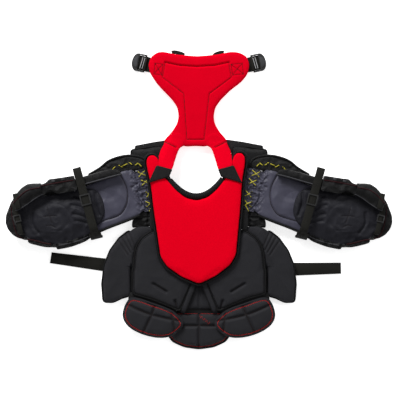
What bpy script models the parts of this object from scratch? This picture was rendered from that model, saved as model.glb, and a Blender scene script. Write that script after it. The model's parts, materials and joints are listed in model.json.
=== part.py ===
"""Hockey goalkeeper's chest and arm protector, laid open on its front face with the back panel thrown up.

Metres, +Z up. The wearer's side faces up. +Y runs from the belly to the neck and +X to the right arm.
The origin lies on the front belly block's resting face, on the centre line.
Every right-hand piece is drawn once in its own frame, and the left-hand one is its mirror image.
"""

import math

import bmesh
import bpy
from mathutils import Matrix, Vector

GAP = 0.0005

# Heights of the layers, from the floor up.
FRONT_BLOCK_TOP = 0.0115
ARM_BLOCK_TOP = 0.0295
TONGUE_LOW, TONGUE_TOP = 0.030, 0.0355
BOARD_LOW, BOARD_TOP = 0.040, 0.045
LINER_TOP = 0.061
WING_LOW, WING_TOP = 0.0040, 0.0260
HIP_PAD_LOW, HIP_PAD_TOP = 0.022, 0.044
BACK_LOW, BACK_TOP = 0.006, 0.028

# Joint axes.
ARM_PIVOT = Vector((0.165, 0.152, 0.0))
ARM_SLOPE = math.radians(-14)
FOLD_AXIS = Vector((0.0295, 0.0, TONGUE_TOP))
ELBOW_AXIS = Vector((0.352, 0.0, 0.076))
FLAP_AXIS = Vector((0.40, 0.098, 0.046))
WING_AXIS = Vector((0.227, -0.09, WING_TOP))
HIP_AXIS = Vector((0.150, -0.2275, HIP_PAD_TOP))
CENTRE_PAD_AXIS = Vector((0.0, -0.256, 0.0))
YOKE_AXIS = Vector((0.0, 0.180, 0.0613))
BACK_AXIS = Vector((0.0, 0.306, 0.0285))
BUCKLE_AXIS = Vector((0.182, 0.581, 0.0075))
BUCKLE_TILT = math.radians(12)

# Webbing.
BICEP_WEBBING, WRIST_WEBBING, WAIST_WEBBING = 0.025, 0.016, 0.050
BICEP_STRAP_U, BICEP_STRAP_Z = 0.2125, 0.079
WRIST_STRAP_U, WRIST_STRAP_Z = 0.4490, 0.070
WEBBING_THICK = 0.002
BUCKLE_BAR = 0.0032
LACE_RADIUS = 0.0017

NECK_HALF_WIDTH, NECK_TOP, NECK_BOTTOM = 0.082, 0.190, 0.141
COLLAR_WIDTH = 0.015

FINISHES = {
    "red_liner": ((0.62, 0.004, 0.012), 0.75, 0.0),
    "black_shell": ((0.012, 0.012, 0.014), 0.60, 0.0),
    "charcoal_knit": ((0.022, 0.022, 0.025), 0.80, 0.0),
    "grey_liner": ((0.090, 0.094, 0.120), 0.55, 0.0),
    "black_webbing": ((0.014, 0.014, 0.013), 0.70, 0.0),
    "black_plastic": ((0.020, 0.020, 0.022), 0.35, 0.0),
    "lace": ((0.45, 0.42, 0.06), 0.65, 0.0),
}


def clear_scene():
    for obj in list(bpy.data.objects):
        bpy.data.objects.remove(obj)


def finish_of(name):
    made = bpy.data.materials.get(name)
    if made:
        return made
    colour, roughness, metallic = FINISHES[name]
    made = bpy.data.materials.new(name)
    made.use_nodes = True
    shader = made.node_tree.nodes["Principled BSDF"]
    shader.inputs["Base Color"].default_value = (*colour, 1.0)
    shader.inputs["Roughness"].default_value = roughness
    shader.inputs["Metallic"].default_value = metallic
    return made


def smooth(corners, spans=3):
    """A closed Catmull-Rom curve through the corners, with this many points for each."""
    count = len(corners)
    points = []
    for i in range(count):
        p0, p1, p2, p3 = (Vector(corners[(i + k) % count]) for k in (-1, 0, 1, 2))
        for step in range(spans):
            t = step / spans
            a = 2 * p1 + (p2 - p0) * t
            b = (2 * p0 - 5 * p1 + 4 * p2 - p3) * t * t
            c = (3 * p1 - p0 - 3 * p2 + p3) * t * t * t
            points.append(tuple((a + b + c) / 2))
    return points


def whole(half):
    """A symmetric outline from its right half, which runs from the centre line up to the centre line."""
    return half + [(-x, y) for x, y in reversed(half) if x > 0]


def mirrored(outline, side):
    return [(side * x, y) for x, y in outline]


def neck_curve(drop, steps=8):
    """The neck cut from right to left, moved down into the chest by drop."""
    wide = NECK_HALF_WIDTH + drop
    points = []
    for i in range(steps + 1):
        x = wide * math.cos(math.pi * i / steps)
        depth = 1 - (x / wide) ** 2
        points.append((x, NECK_TOP - depth * (NECK_TOP - NECK_BOTTOM + drop)))
    return points


def empty(name, place, parent=None, turn=0.0):
    made = bpy.data.objects.new(name, None)
    made.empty_display_size = 0.02
    made.parent = parent
    made.location = place
    made.rotation_euler = (0, 0, turn)
    bpy.context.scene.collection.objects.link(made)
    return made


def add_object(name, mesh, finish, axis=None):
    """Links the piece. Its mesh is drawn in its assembly's frame, and axis is the empty it turns on."""
    made = bpy.data.objects.new(name, mesh)
    mesh.materials.append(finish_of(finish))
    bpy.context.scene.collection.objects.link(made)
    if axis:
        made.parent = axis
        made.matrix_parent_inverse = Matrix.Identity(4)
        turn = axis.rotation_euler.to_matrix().to_4x4() if axis.get("own_turn") else Matrix.Identity(4)
        made.matrix_basis = turn.inverted() @ Matrix.Translation(-axis.location)
    return made


def mesh_from(name, bm):
    bmesh.ops.recalc_face_normals(bm, faces=bm.faces)
    mesh = bpy.data.meshes.new(name)
    bm.to_mesh(mesh)
    bm.free()
    return mesh


def chamfer(obj, width, segments=1):
    bevel = obj.modifiers.new("rim", "BEVEL")
    bevel.width = width
    bevel.segments = segments
    bevel.limit_method = "ANGLE"
    bevel.angle_limit = math.radians(55)


def slab(name, outline, low, high, finish, axis=None, rim=0.003):
    """A flat piece: the outline in plan, raised from low to high, with chamfered rims."""
    bm = bmesh.new()
    base = bm.faces.new([bm.verts.new((x, y, low)) for x, y in outline])
    raised = bmesh.ops.extrude_face_region(bm, geom=[base])
    top = [v for v in raised["geom"] if isinstance(v, bmesh.types.BMVert)]
    bmesh.ops.translate(bm, verts=top, vec=(0, 0, high - low))
    obj = add_object(name, mesh_from(name, bm), finish, axis)
    if rim:
        chamfer(obj, rim)
    return obj


def ribbon(name, path, start, end, thickness, finish, side, axis=None, frame=None):
    """Webbing or sheet: a path in the (across, up) plane, thickened, and drawn out along the arm from start to end."""
    points = [Vector(p) for p in path]
    near, far = [], []
    for i, p in enumerate(points):
        ahead = (points[min(i + 1, len(points) - 1)] - points[max(i - 1, 0)]).normalized()
        normal = Vector((-ahead.y, ahead.x)) * thickness / 2
        near.append(p + normal)
        far.append(p - normal)
    section = near + far[::-1]
    bm = bmesh.new()
    base = bm.faces.new([bm.verts.new((start, v, z)) for v, z in section])
    raised = bmesh.ops.extrude_face_region(bm, geom=[base])
    drawn = [v for v in raised["geom"] if isinstance(v, bmesh.types.BMVert)]
    bmesh.ops.translate(bm, verts=drawn, vec=(end - start, 0, 0))
    if frame:
        bmesh.ops.transform(bm, verts=bm.verts, matrix=frame)
    bmesh.ops.scale(bm, verts=bm.verts, vec=(side, 1, 1))
    return add_object(name, mesh_from(name, bm), finish, axis)


def box_mesh(name, low, high, side=1):
    bm = bmesh.new()
    bmesh.ops.create_cube(bm, size=1)
    bmesh.ops.scale(bm, verts=bm.verts, vec=Vector(high) - Vector(low))
    bmesh.ops.translate(bm, verts=bm.verts, vec=(Vector(high) + Vector(low)) / 2)
    bmesh.ops.scale(bm, verts=bm.verts, vec=(side, 1, 1))
    return mesh_from(name, bm)


def combine(obj, tool, operation):
    """Adds or cuts a hidden tool mesh that is drawn in the same frame as obj."""
    helper = bpy.data.objects.new(tool.name, tool)
    bpy.context.scene.collection.objects.link(helper)
    helper.parent = obj.parent
    helper.matrix_basis = obj.matrix_basis
    helper.hide_render = True
    helper.display_type = "WIRE"
    boolean = obj.modifiers.new(operation.lower(), "BOOLEAN")
    boolean.operation = operation
    boolean.solver = "EXACT"
    boolean.object = helper


def side_name(side, name):
    return ("right_" if side > 0 else "left_") + name


def make_chest():
    liner = [(0.150, 0.130), (0.1455, 0.083), (0.136, 0.005), (0.127, -0.068), (0.106, -0.102), (0.058, -0.137)]
    ear = [(0.101, 0.1905), (0.130, 0.209), (0.132, 0.245), (0.148, 0.266), (0.166, 0.256), (0.154, 0.195)]
    tip = (0.0, -0.163)
    neck = neck_curve(COLLAR_WIDTH + GAP)
    right = [*ear, *liner]
    slab("chest_liner", right + [tip] + mirrored(right[::-1], -1) + neck[::-1][1:-1],
         BOARD_TOP + GAP, LINER_TOP, "red_liner", rim=0.005)

    margin = 0.006
    edge = [(x + margin, y) for x, y in liner]
    edge[-2:] = [(0.110, -0.107), (0.060, -0.144)]
    board_ear = [(0.126, 0.212), (0.127, 0.248), (0.146, 0.272), (0.172, 0.262), (0.160, 0.195)]
    right = [*board_ear, *edge]
    slab("chest_board", right + [(0.0, -0.170)] + mirrored(right[::-1], -1) + neck_curve(0)[::-1],
         BOARD_LOW, BOARD_TOP, "black_shell", rim=0.001)
    slab("collar_pad", neck_curve(COLLAR_WIDTH) + neck_curve(0.001)[::-1],
         BOARD_TOP + GAP, LINER_TOP - GAP, "charcoal_knit", rim=0.003)

    guard = whole([(0.0, 0.016), (0.052, 0.016), (0.070, 0.050), (0.066, 0.105), (0.040, 0.128), (0.0, 0.126)])
    slab("sternum_guard", guard, 0.0, BOARD_LOW - GAP, "black_shell", rim=0.006)
    belly = whole([(0.0, -0.250), (0.060, -0.250), (0.140, -0.212), (0.210, -0.190), (0.216, -0.060),
                   (0.190, 0.000), (0.120, 0.012), (0.0, 0.012)])
    slab("belly_block", belly, 0.0, FRONT_BLOCK_TOP, "black_shell", rim=0.003)

    for side in (1, -1):
        block = [(0.074, 0.044), (0.140, 0.044), (0.150, 0.100), (0.150, 0.190),
                 (0.138, 0.214), (0.106, 0.214), (0.087, 0.168), (0.074, 0.125)]
        slab(side_name(side, "chest_block"), mirrored(block, side), 0.0, TONGUE_LOW - 0.0015, "black_shell", rim=0.005)
        panel = [(0.013, -0.152), (0.013, -0.020), (0.060, 0.012), (0.145, 0.014), (0.160, 0.028), (0.200, 0.030),
                 (0.2255, 0.016), (0.2255, -0.197), (0.156, -0.217), (0.092, -0.243), (0.064, -0.258), (0.027, -0.174)]
        slab(side_name(side, "belly_panel"), mirrored(panel, side), FRONT_BLOCK_TOP + GAP, BOARD_LOW - GAP,
             "charcoal_knit", rim=0.004)
        floater = [(0.108, 0.218), (0.200, 0.218), (0.230, 0.240), (0.232, 0.290), (0.155, 0.302), (0.112, 0.301)]
        slab(side_name(side, "shoulder_floater"), mirrored(floater, side), 0.0, 0.0135, "black_shell", rim=0.003)


def make_wing(side):
    """The rib wing, which folds up round the wearer's side, and the elastic waist strap sewn under it."""
    axis = empty(side_name(side, "wing_hinge"), (side * WING_AXIS.x, WING_AXIS.y, WING_AXIS.z))
    wing = [(0.2285, 0.016), (0.240, 0.016), (0.271, -0.008), (0.302, -0.050), (0.322, -0.100),
            (0.330, -0.165), (0.325, -0.218), (0.290, -0.219), (0.262, -0.206), (0.2285, -0.199)]
    slab(side_name(side, "side_wing"), mirrored(wing, side), WING_LOW, WING_TOP, "charcoal_knit", axis, rim=0.005)
    strap = [(0.268, -0.082), (0.500, -0.060), (0.504, -0.104), (0.268, -0.132)]
    if side > 0:
        strap = [(0.268, -0.093), (0.478, -0.095), (0.483, -0.133), (0.268, -0.140)]
    slab(side_name(side, "waist_strap"), mirrored(strap, side), 0.0005, WING_LOW - GAP, "black_webbing", axis, rim=0)


def make_lower_pads():
    pad = [(0.053, -0.2925), (0.091, -0.2535), (0.154, -0.2300), (0.207, -0.2115), (0.237, -0.2160),
           (0.2565, -0.2660), (0.239, -0.3040), (0.195, -0.3300), (0.143, -0.3430), (0.099, -0.3400), (0.066, -0.3180)]
    for side in (1, -1):
        axis = empty(side_name(side, "hip_pad_hinge"), (side * HIP_AXIS.x, HIP_AXIS.y, HIP_AXIS.z))
        slab(side_name(side, "hip_pad"), mirrored(smooth(pad, 2), side), HIP_PAD_LOW, HIP_PAD_TOP,
             "charcoal_knit", axis, rim=0.005)
    axis = empty("centre_pad_hinge", CENTRE_PAD_AXIS)
    half = [(0.0, -0.386), (0.050, -0.379), (0.090, -0.361), (0.112, -0.330), (0.110, -0.285), (0.080, -0.258), (0.0, -0.258)]
    slab("centre_pad", whole(half), 0.0, HIP_PAD_LOW - GAP, "charcoal_knit", axis, rim=0.005)


def make_yoke():
    """Two padded straps that go over the shoulders, each with a hook-and-loop tab on the chest."""
    axis = empty("yoke_hinge", YOKE_AXIS)
    for side in (1, -1):
        tab = [(0.079, 0.2165), (0.0885, 0.2000), (0.1455, 0.1820), (0.1285, 0.2280)]
        slab(side_name(side, "yoke_tab"), mirrored(tab, side), LINER_TOP + GAP, LINER_TOP + 0.0045, "black_webbing", axis, rim=0.001)
        strap = [(0.079, 0.2185), (0.1285, 0.2305), (0.126, 0.262), (0.121, 0.283),
                 (0.113, 0.3045), (0.050, 0.3045), (0.053, 0.290), (0.065, 0.262)]
        obj = slab(side_name(side, "yoke_strap"), mirrored(strap, side), 0.0, 0.008, "red_liner", axis, rim=0.002)
        start_height, end_height = 0.0635, 0.0185
        slope = (end_height - start_height) / (0.3045 - 0.2185)
        for vertex in obj.data.vertices:
            vertex.co.z += start_height + (vertex.co.y - 0.2185) * slope


def make_back():
    """The back panel, its outer shell, and at each lower corner a waist buckle on a webbing loop."""
    axis = empty("back_hinge", BACK_AXIS)
    half = [(0.0, 0.299), (0.038, 0.2965), (0.048, 0.3075), (0.112, 0.3075), (0.104, 0.324), (0.083, 0.347),
            (0.066, 0.375), (0.0615, 0.400), (0.066, 0.430), (0.083, 0.455), (0.112, 0.485), (0.145, 0.516),
            (0.166, 0.545), (0.173, 0.578), (0.163, 0.606), (0.140, 0.620), (0.115, 0.6225), (0.070, 0.613), (0.0, 0.607)]
    slab("back_panel", whole(half), BACK_LOW, BACK_TOP, "red_liner", axis, rim=0.004)
    shell = whole([(0.0, 0.330), (0.030, 0.330), (0.043, 0.470), (0.095, 0.520), (0.095, 0.570), (0.0, 0.562)])
    slab("back_shell", shell, 0.0, BACK_LOW - GAP, "black_plastic", axis, rim=0.001)
    for side in (1, -1):
        make_waist_buckle(side, axis)


def make_waist_buckle(side, back_axis):
    across, bar_half = WAIST_WEBBING / 2, 0.0021
    frame = Matrix.Translation(BUCKLE_AXIS) @ Matrix.Rotation(BUCKLE_TILT, 4, "Z")
    loop_radius, loop_thick = 0.0041, 0.0016
    path = [(-0.075, -loop_radius), (-0.004, -loop_radius)]
    path += [(loop_radius * math.cos(a), loop_radius * math.sin(a))
             for a in (math.radians(d) for d in range(-90, 151, 30))]
    turned = frame @ Matrix.Rotation(math.radians(-90), 4, "Z")
    ribbon(side_name(side, "buckle_webbing"), path, -across, across, loop_thick, "black_webbing",
           side, back_axis, turned)

    place = Vector((side * BUCKLE_AXIS.x, BUCKLE_AXIS.y, BUCKLE_AXIS.z))
    axis = empty(side_name(side, "waist_buckle_bar"), place)
    rail, slot_half = 0.0045, across + 0.0008
    wide = slot_half + rail
    end = [(0.028 + 0.018 * math.sin(a), wide * math.cos(a)) for a in (math.radians(d) for d in range(0, 181, 20))]
    outline = [(-bar_half, -wide), *[(x, -y) for x, y in end], (-bar_half, wide)]
    placed = [frame @ Vector((x, y, 0)) for x, y in outline]
    obj = slab(side_name(side, "waist_buckle"), [(side * p.x, p.y) for p in placed],
               BUCKLE_AXIS.z - bar_half, BUCKLE_AXIS.z + bar_half, "black_plastic", axis, rim=0)
    for number, (inner, outer) in enumerate(((bar_half, 0.0115), (0.0155, 0.0235))):
        bm = bmesh.new()
        bmesh.ops.create_cube(bm, size=1)
        bmesh.ops.scale(bm, verts=bm.verts, vec=(outer - inner, 2 * slot_half, 0.02))
        bmesh.ops.translate(bm, verts=bm.verts, vec=((inner + outer) / 2, 0, 0))
        bmesh.ops.transform(bm, verts=bm.verts, matrix=frame)
        bmesh.ops.scale(bm, verts=bm.verts, vec=(side, 1, 1))
        combine(obj, mesh_from(side_name(side, f"buckle_slot_cutter_{number}"), bm), "DIFFERENCE")


def make_ladder_lock(name, centre, webbing, side, axis):
    """A frame above the webbing and a bar below it, joined outside the webbing's edges, so that it slides along."""
    u, v, z = centre
    half_u, half_v = webbing / 2 + 0.0045, 0.0165 * webbing / BICEP_WEBBING + 0.002
    over = z + WEBBING_THICK / 2 + 0.0003
    under = z - WEBBING_THICK / 2 - 0.0003
    ring = box_mesh(name, (u - half_u, v - half_v, over), (u + half_u, v + half_v, over + BUCKLE_BAR), side)
    obj = add_object(name, ring, "black_plastic", axis)
    inner_u, inner_v = half_u - 0.0040, half_v - 0.0042
    hole = box_mesh(name + "_hole_cutter", (u - inner_u, v - inner_v, over - 0.01), (u + inner_u, v + inner_v, over + 0.01), side)
    combine(obj, hole, "DIFFERENCE")
    bar_low = under - BUCKLE_BAR
    bar = box_mesh(name + "_bar_tool", (u - half_u, v - 0.0025, bar_low), (u + half_u, v + 0.0025, under), side)
    combine(obj, bar, "UNION")
    for number, edge in enumerate((-1, 1)):
        near, far = sorted((u + edge * (webbing / 2 + 0.0008), u + edge * half_u))
        leg = box_mesh(f"{name}_leg_tool_{number}", (near, v - 0.0025, bar_low), (far, v + 0.0025, over + BUCKLE_BAR), side)
        combine(obj, leg, "UNION")


def make_lace(name, side, axis):
    """A zigzag lace through the tongue's eyelets."""
    stitches, span = 7, 0.118
    points = []
    for i in range(stitches):
        v = -span / 2 + span * i / (stitches - 1)
        points.append((side * (0.020 if i % 2 else -0.006), v))
    curve = bpy.data.curves.new(name, "CURVE")
    curve.dimensions = "3D"
    curve.bevel_depth = LACE_RADIUS
    curve.bevel_resolution = 1
    curve.use_fill_caps = True
    spline = curve.splines.new("POLY")
    spline.points.add(stitches - 1)
    for point, (x, y) in zip(spline.points, points):
        point.co = (x, y, TONGUE_TOP + LACE_RADIUS + 0.0004, 1)
    made = bpy.data.objects.new(name, curve)
    curve.materials.append(finish_of("lace"))
    bpy.context.scene.collection.objects.link(made)
    made.parent = axis


def make_arm(side):
    """One arm, drawn along its own u axis from the shoulder pivot, with v across it towards the neck."""
    pivot = empty(side_name(side, "arm_pivot"), (side * ARM_PIVOT.x, ARM_PIVOT.y, 0.0), turn=side * ARM_SLOPE)

    def axis_at(name, place):
        return empty(side_name(side, name), (side * place.x, place.y, place.z), pivot)

    def piece(name, outline, low, high, finish, axis, rim=0.003):
        return slab(side_name(side, name), mirrored(outline, side), low, high, finish, axis, rim)

    tongue_radius = 0.078
    fold_at = FOLD_AXIS.x - 0.0015
    reach = math.acos(fold_at / tongue_radius)
    steps = 16
    disc = [(tongue_radius * math.cos(a), tongue_radius * math.sin(a))
            for a in (reach + (2 * math.pi - 2 * reach) * i / steps for i in range(steps + 1))]
    swing = axis_at("swing_axis", Vector((0, 0, 0)))
    piece("lace_panel", disc, TONGUE_LOW, TONGUE_TOP, "grey_liner", swing, rim=0)
    make_lace(side_name(side, "lace"), side, swing)

    upper = axis_at("fold_axis", FOLD_AXIS)
    liner = [(0.031, -0.052), (0.031, 0.052), (0.058, 0.066), (0.120, 0.068), (0.240, 0.064), (0.349, 0.070),
             (0.349, -0.100), (0.300, -0.106), (0.240, -0.100), (0.160, -0.083), (0.100, -0.078), (0.060, -0.072)]
    piece("upper_arm_liner", liner, TONGUE_LOW, 0.044, "grey_liner", upper)
    rail = [(0.072, 0.0715), (0.120, 0.0725), (0.240, 0.0685), (0.349, 0.0745),
            (0.349, 0.1040), (0.240, 0.0940), (0.120, 0.1000), (0.088, 0.0960)]
    piece("upper_arm_rail", rail, TONGUE_LOW, 0.074, "black_shell", upper, rim=0.004)
    cap = [(0.032, -0.058), (0.032, 0.078), (0.053, 0.092), (0.057, 0.120), (0.070, 0.133), (0.100, 0.120), (0.130, 0.098),
           (0.156, 0.060), (0.158, -0.040), (0.130, -0.058)]
    piece("shoulder_cap", cap, 0.014, 0.029, "black_shell", upper)
    block = [(0.163, -0.066), (0.163, 0.085), (0.220, 0.088), (0.274, 0.088), (0.274, -0.095), (0.220, -0.085)]
    piece("bicep_block", block, 0.0, ARM_BLOCK_TOP, "black_shell", upper, rim=0.005)
    elbow = [(0.284, -0.112), (0.330, -0.118), (0.380, -0.104), (0.404, -0.060), (0.409, 0.000), (0.401, 0.060),
             (0.372, 0.095), (0.300, 0.098), (0.279, 0.060), (0.278, -0.060)]
    piece("elbow_cap", elbow, 0.0, ARM_BLOCK_TOP, "black_plastic", upper, rim=0.007)
    strap = [(0.128, BICEP_STRAP_Z), (0.060, BICEP_STRAP_Z), (-0.070, BICEP_STRAP_Z), (-0.094, 0.073),
             (-0.107, 0.056), (-0.110, 0.032)]
    ribbon(side_name(side, "bicep_strap"), strap, BICEP_STRAP_U - BICEP_WEBBING / 2, BICEP_STRAP_U + BICEP_WEBBING / 2,
           WEBBING_THICK, "black_webbing", side, upper)
    buckle = axis_at("bicep_buckle_slide", Vector((BICEP_STRAP_U, 0.020, BICEP_STRAP_Z)))
    make_ladder_lock(side_name(side, "bicep_buckle"), (BICEP_STRAP_U, 0.020, BICEP_STRAP_Z), BICEP_WEBBING, side, buckle)

    fore = axis_at("elbow_axis", ELBOW_AXIS)
    liner = [(0.355, -0.092), (0.355, 0.092), (0.420, 0.092), (0.453, 0.080), (0.462, 0.030), (0.462, -0.036),
             (0.440, -0.055), (0.410, -0.066), (0.380, -0.085)]
    piece("forearm_liner", liner, TONGUE_LOW, 0.042, "charcoal_knit", fore)
    block = [(0.4125, -0.060), (0.4125, 0.075), (0.440, 0.084), (0.466, 0.074), (0.474, 0.000), (0.467, -0.050), (0.448, -0.062)]
    piece("forearm_block", block, 0.0, ARM_BLOCK_TOP, "black_shell", fore, rim=0.005)
    wall = [(0.357, -0.0945), (0.381, -0.0870), (0.411, -0.0680), (0.438, -0.0575),
            (0.438, -0.0740), (0.410, -0.0890), (0.385, -0.1020), (0.357, -0.1100)]
    piece("forearm_wall", wall, TONGUE_LOW, 0.068, "black_shell", fore)
    cuff = [(0.4645, -0.036), (0.4645, 0.032), (0.4565, 0.083), (0.470, 0.084), (0.492, 0.060), (0.506, 0.020),
            (0.505, -0.018), (0.490, -0.046), (0.468, -0.064), (0.448, -0.066), (0.444, -0.059)]
    piece("wrist_cuff", cuff, TONGUE_LOW, 0.052, "charcoal_knit", fore)
    strap = [(0.068, 0.0438), (0.069, 0.060), (0.058, WRIST_STRAP_Z), (-0.028, WRIST_STRAP_Z), (-0.040, 0.060), (-0.040, 0.0438)]
    ribbon(side_name(side, "wrist_strap"), strap, WRIST_STRAP_U - WRIST_WEBBING / 2, WRIST_STRAP_U + WRIST_WEBBING / 2,
           WEBBING_THICK, "black_webbing", side, fore)
    buckle = axis_at("wrist_buckle_slide", Vector((WRIST_STRAP_U, 0.014, WRIST_STRAP_Z)))
    make_ladder_lock(side_name(side, "wrist_buckle"), (WRIST_STRAP_U, 0.014, WRIST_STRAP_Z), WRIST_WEBBING, side, buckle)

    flap_axis = axis_at("flap_hinge", FLAP_AXIS)
    flap = [(0.0975, 0.047), (0.1000, 0.062), (0.0900, 0.076), (0.0660, 0.0835), (0.0360, 0.0835)]
    ribbon(side_name(side, "forearm_flap"), flap, 0.364, 0.438, 0.005, "black_shell", side, flap_axis)


def main():
    clear_scene()
    make_chest()
    make_lower_pads()
    make_yoke()
    make_back()
    for side in (1, -1):
        make_wing(side)
        make_arm(side)


main()
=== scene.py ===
"""Hockey goalkeeper's chest and arm protector, laid open: soft pads, seams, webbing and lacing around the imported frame.

Metres throughout. Pieces of the right half are modelled once and mirrored to the left.
On an arm, u runs from the shoulder to the wrist and v across it, towards the neck.
"""

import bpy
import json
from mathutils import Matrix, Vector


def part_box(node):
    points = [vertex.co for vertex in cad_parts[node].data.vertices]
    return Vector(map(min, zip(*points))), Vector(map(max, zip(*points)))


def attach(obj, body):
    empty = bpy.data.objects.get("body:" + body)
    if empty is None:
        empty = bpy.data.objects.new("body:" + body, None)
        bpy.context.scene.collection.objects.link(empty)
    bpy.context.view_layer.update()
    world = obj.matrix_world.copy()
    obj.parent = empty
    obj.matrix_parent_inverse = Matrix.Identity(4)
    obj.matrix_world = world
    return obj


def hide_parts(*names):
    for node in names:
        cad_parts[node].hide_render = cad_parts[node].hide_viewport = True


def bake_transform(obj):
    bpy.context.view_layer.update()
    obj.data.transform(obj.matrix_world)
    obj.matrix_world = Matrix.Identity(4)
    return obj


bl_info = {
    "name": "Goalkeeper protector",
    "version": (1, 0, 0),
    "blender": (4, 5, 0),
    "location": "View3D > Sidebar > Protector",
    "description": "Builds a laid-open hockey chest and arm protector around its packed frame",
    "category": "Object",
}

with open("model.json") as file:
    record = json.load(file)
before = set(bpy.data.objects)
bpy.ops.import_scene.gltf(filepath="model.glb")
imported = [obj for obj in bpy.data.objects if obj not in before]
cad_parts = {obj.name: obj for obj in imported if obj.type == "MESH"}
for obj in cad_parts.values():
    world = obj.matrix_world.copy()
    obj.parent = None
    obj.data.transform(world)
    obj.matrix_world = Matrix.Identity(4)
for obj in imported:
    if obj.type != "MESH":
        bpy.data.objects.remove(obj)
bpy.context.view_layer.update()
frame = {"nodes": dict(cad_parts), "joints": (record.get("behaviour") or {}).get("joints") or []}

import json
import math

import bpy
import numpy as np
from bpy.props import FloatProperty, FloatVectorProperty, PointerProperty
from mathutils import Matrix, Vector, noise
from mathutils.bvhtree import BVHTree
from mathutils.kdtree import KDTree

JOINTS = {joint["name"]: joint for joint in frame["joints"]}
UP = Vector((0, 0, 1))


# ---------------------------------------------------------------- sizes and colours

def length(name, description, default):
    return FloatProperty(name=name, description=description, default=default, unit="LENGTH", precision=4)


def colour(name, description, default):
    return FloatVectorProperty(name=name, description=description, default=default,
                               subtype="COLOR", size=3, min=0.0, max=1.0)


class ProtectorSizes(bpy.types.PropertyGroup):
    """Sizes that the soft pieces share."""
    voxel: length("Pad detail", "Edge length of a large pad's mesh before it is subdivided", 0.005)
    piping: length("Piping radius", "Radius of the corded edge round the pads", 0.0036)
    seam_depth: length("Seam depth", "How far a sewn line pulls a pad's surface down", 0.0030)
    seam_width: length("Seam width", "Distance from a sewn line at which the pad is full again", 0.0075)
    stitch: length("Stitch length", "Length of one stitch", 0.0036)
    thread: length("Thread radius", "Radius of the sewing thread", 0.0006)
    lace: length("Lace radius", "Radius of the shoulder lace", 0.0019)
    webbing: length("Webbing thickness", "Thickness of the strap webbing", 0.0018)


class ProtectorColours(bpy.types.PropertyGroup):
    """Colours of the cloths and mouldings."""
    red: colour("Liner red", "Brushed knit of the chest and back", (0.74, 0.0, 0.0115))
    # The back's red is the chest's red knit painted darker: painted shade on the back panel.
    back: colour("Back red", "The same knit on the back, a shade deeper", (0.64, 0.0, 0.0115))
    charcoal: colour("Charcoal", "Knit on the belly, wings and lower pads", (0.0150, 0.0150, 0.0180))
    black: colour("Black", "Woven shell cloth", (0.0060, 0.0060, 0.0064))
    slate: colour("Slate", "Smooth lining of the upper arm", (0.047, 0.046, 0.070))
    dusk: colour("Dusk", "Smooth lining of the forearm", (0.0115, 0.0115, 0.0160))
    rim: colour("Rim grey", "Thin grey edges of the forearm's linings", (0.040, 0.040, 0.046))
    webbing: colour("Webbing", "Strap webbing", (0.0110, 0.0108, 0.0090))
    maroon: colour("Maroon", "Binding on the forearm's flaps", (0.022, 0.0040, 0.0055))
    lace: colour("Lace", "Yellow of the shoulder lace", (0.52, 0.46, 0.04))
    thread: colour("Red thread", "Overlock thread on the lower pads", (0.58, 0.010, 0.008))
    plastic: colour("Plastic", "Moulded buckles", (0.0160, 0.0160, 0.0165))
    floor: colour("Floor", "Pale studio floor", (0.93, 0.93, 0.93))


def sizes():
    return bpy.context.scene.protector_sizes


def colours():
    return bpy.context.scene.protector_colours


# ---------------------------------------------------------------- finishes

class Wire:
    """A shader socket that takes part in Python arithmetic."""

    def __init__(self, finish, socket):
        self.finish = finish
        self.socket = socket

    def math(self, operation, *others):
        return self.finish.node("ShaderNodeMath", {"operation": operation}, dict(enumerate((self, *others))))

    def __add__(self, other):
        return self.math("ADD", other)

    __radd__ = __add__

    def __mul__(self, other):
        return self.math("MULTIPLY", other)

    __rmul__ = __mul__

    def __sub__(self, other):
        return self.math("SUBTRACT", other)

    def sine(self):
        return self.math("SINE")

    def between(self, low, high):
        """0 below low, 1 above high, smooth between them."""
        return self.finish.node("ShaderNodeMapRange", {"interpolation_type": "SMOOTHSTEP"},
                                {"Value": self, "From Min": low, "From Max": high})


class Finish:
    """A material and the one method that adds nodes to it."""

    def __init__(self, name, roughness=0.7, metallic=0.0, sheen=0.0, shine=0.5):
        self.material = bpy.data.materials.new(name)
        self.material.use_nodes = True
        self.tree = self.material.node_tree
        self.shader = self.tree.nodes["Principled BSDF"]
        self.shader.inputs["Roughness"].default_value = roughness
        self.shader.inputs["Metallic"].default_value = metallic
        self.shader.inputs["Sheen Weight"].default_value = sheen
        self.shader.inputs["Sheen Roughness"].default_value = 0.45
        self.shader.inputs["Specular IOR Level"].default_value = shine

    def node(self, kind, settings=None, values=None, output=0):
        made = self.tree.nodes.new(kind)
        for key, value in (settings or {}).items():
            setattr(made, key, value)
        for key, value in (values or {}).items():
            if isinstance(value, Wire):
                self.tree.links.new(value.socket, made.inputs[key])
            else:
                made.inputs[key].default_value = value
        return Wire(self, made.outputs[output])

    def place(self):
        return self.node("ShaderNodeTexCoord", output="Object")

    def axes(self, vector):
        split = self.tree.nodes.new("ShaderNodeSeparateXYZ")
        self.tree.links.new(vector.socket, split.inputs[0])
        return [Wire(self, output) for output in split.outputs]

    def noise(self, scale, detail=3.0, vector=None):
        return self.node("ShaderNodeTexNoise", {},
                         {"Vector": vector or self.place(), "Scale": scale, "Detail": detail})

    def mix(self, factor, low, high):
        return self.node("ShaderNodeMix", {"data_type": "RGBA"}, {0: factor, 6: low, 7: high}, output=2)

    def feed(self, name, wire):
        self.tree.links.new(wire.socket, self.shader.inputs[name])

    def bump(self, height, depth, strength=1.0):
        self.feed("Normal", self.node("ShaderNodeBump", {},
                                      {"Height": height, "Distance": depth, "Strength": strength}))


def shade(rgb, by):
    return (*[min(1.0, channel * by) for channel in rgb], 1.0)


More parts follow.
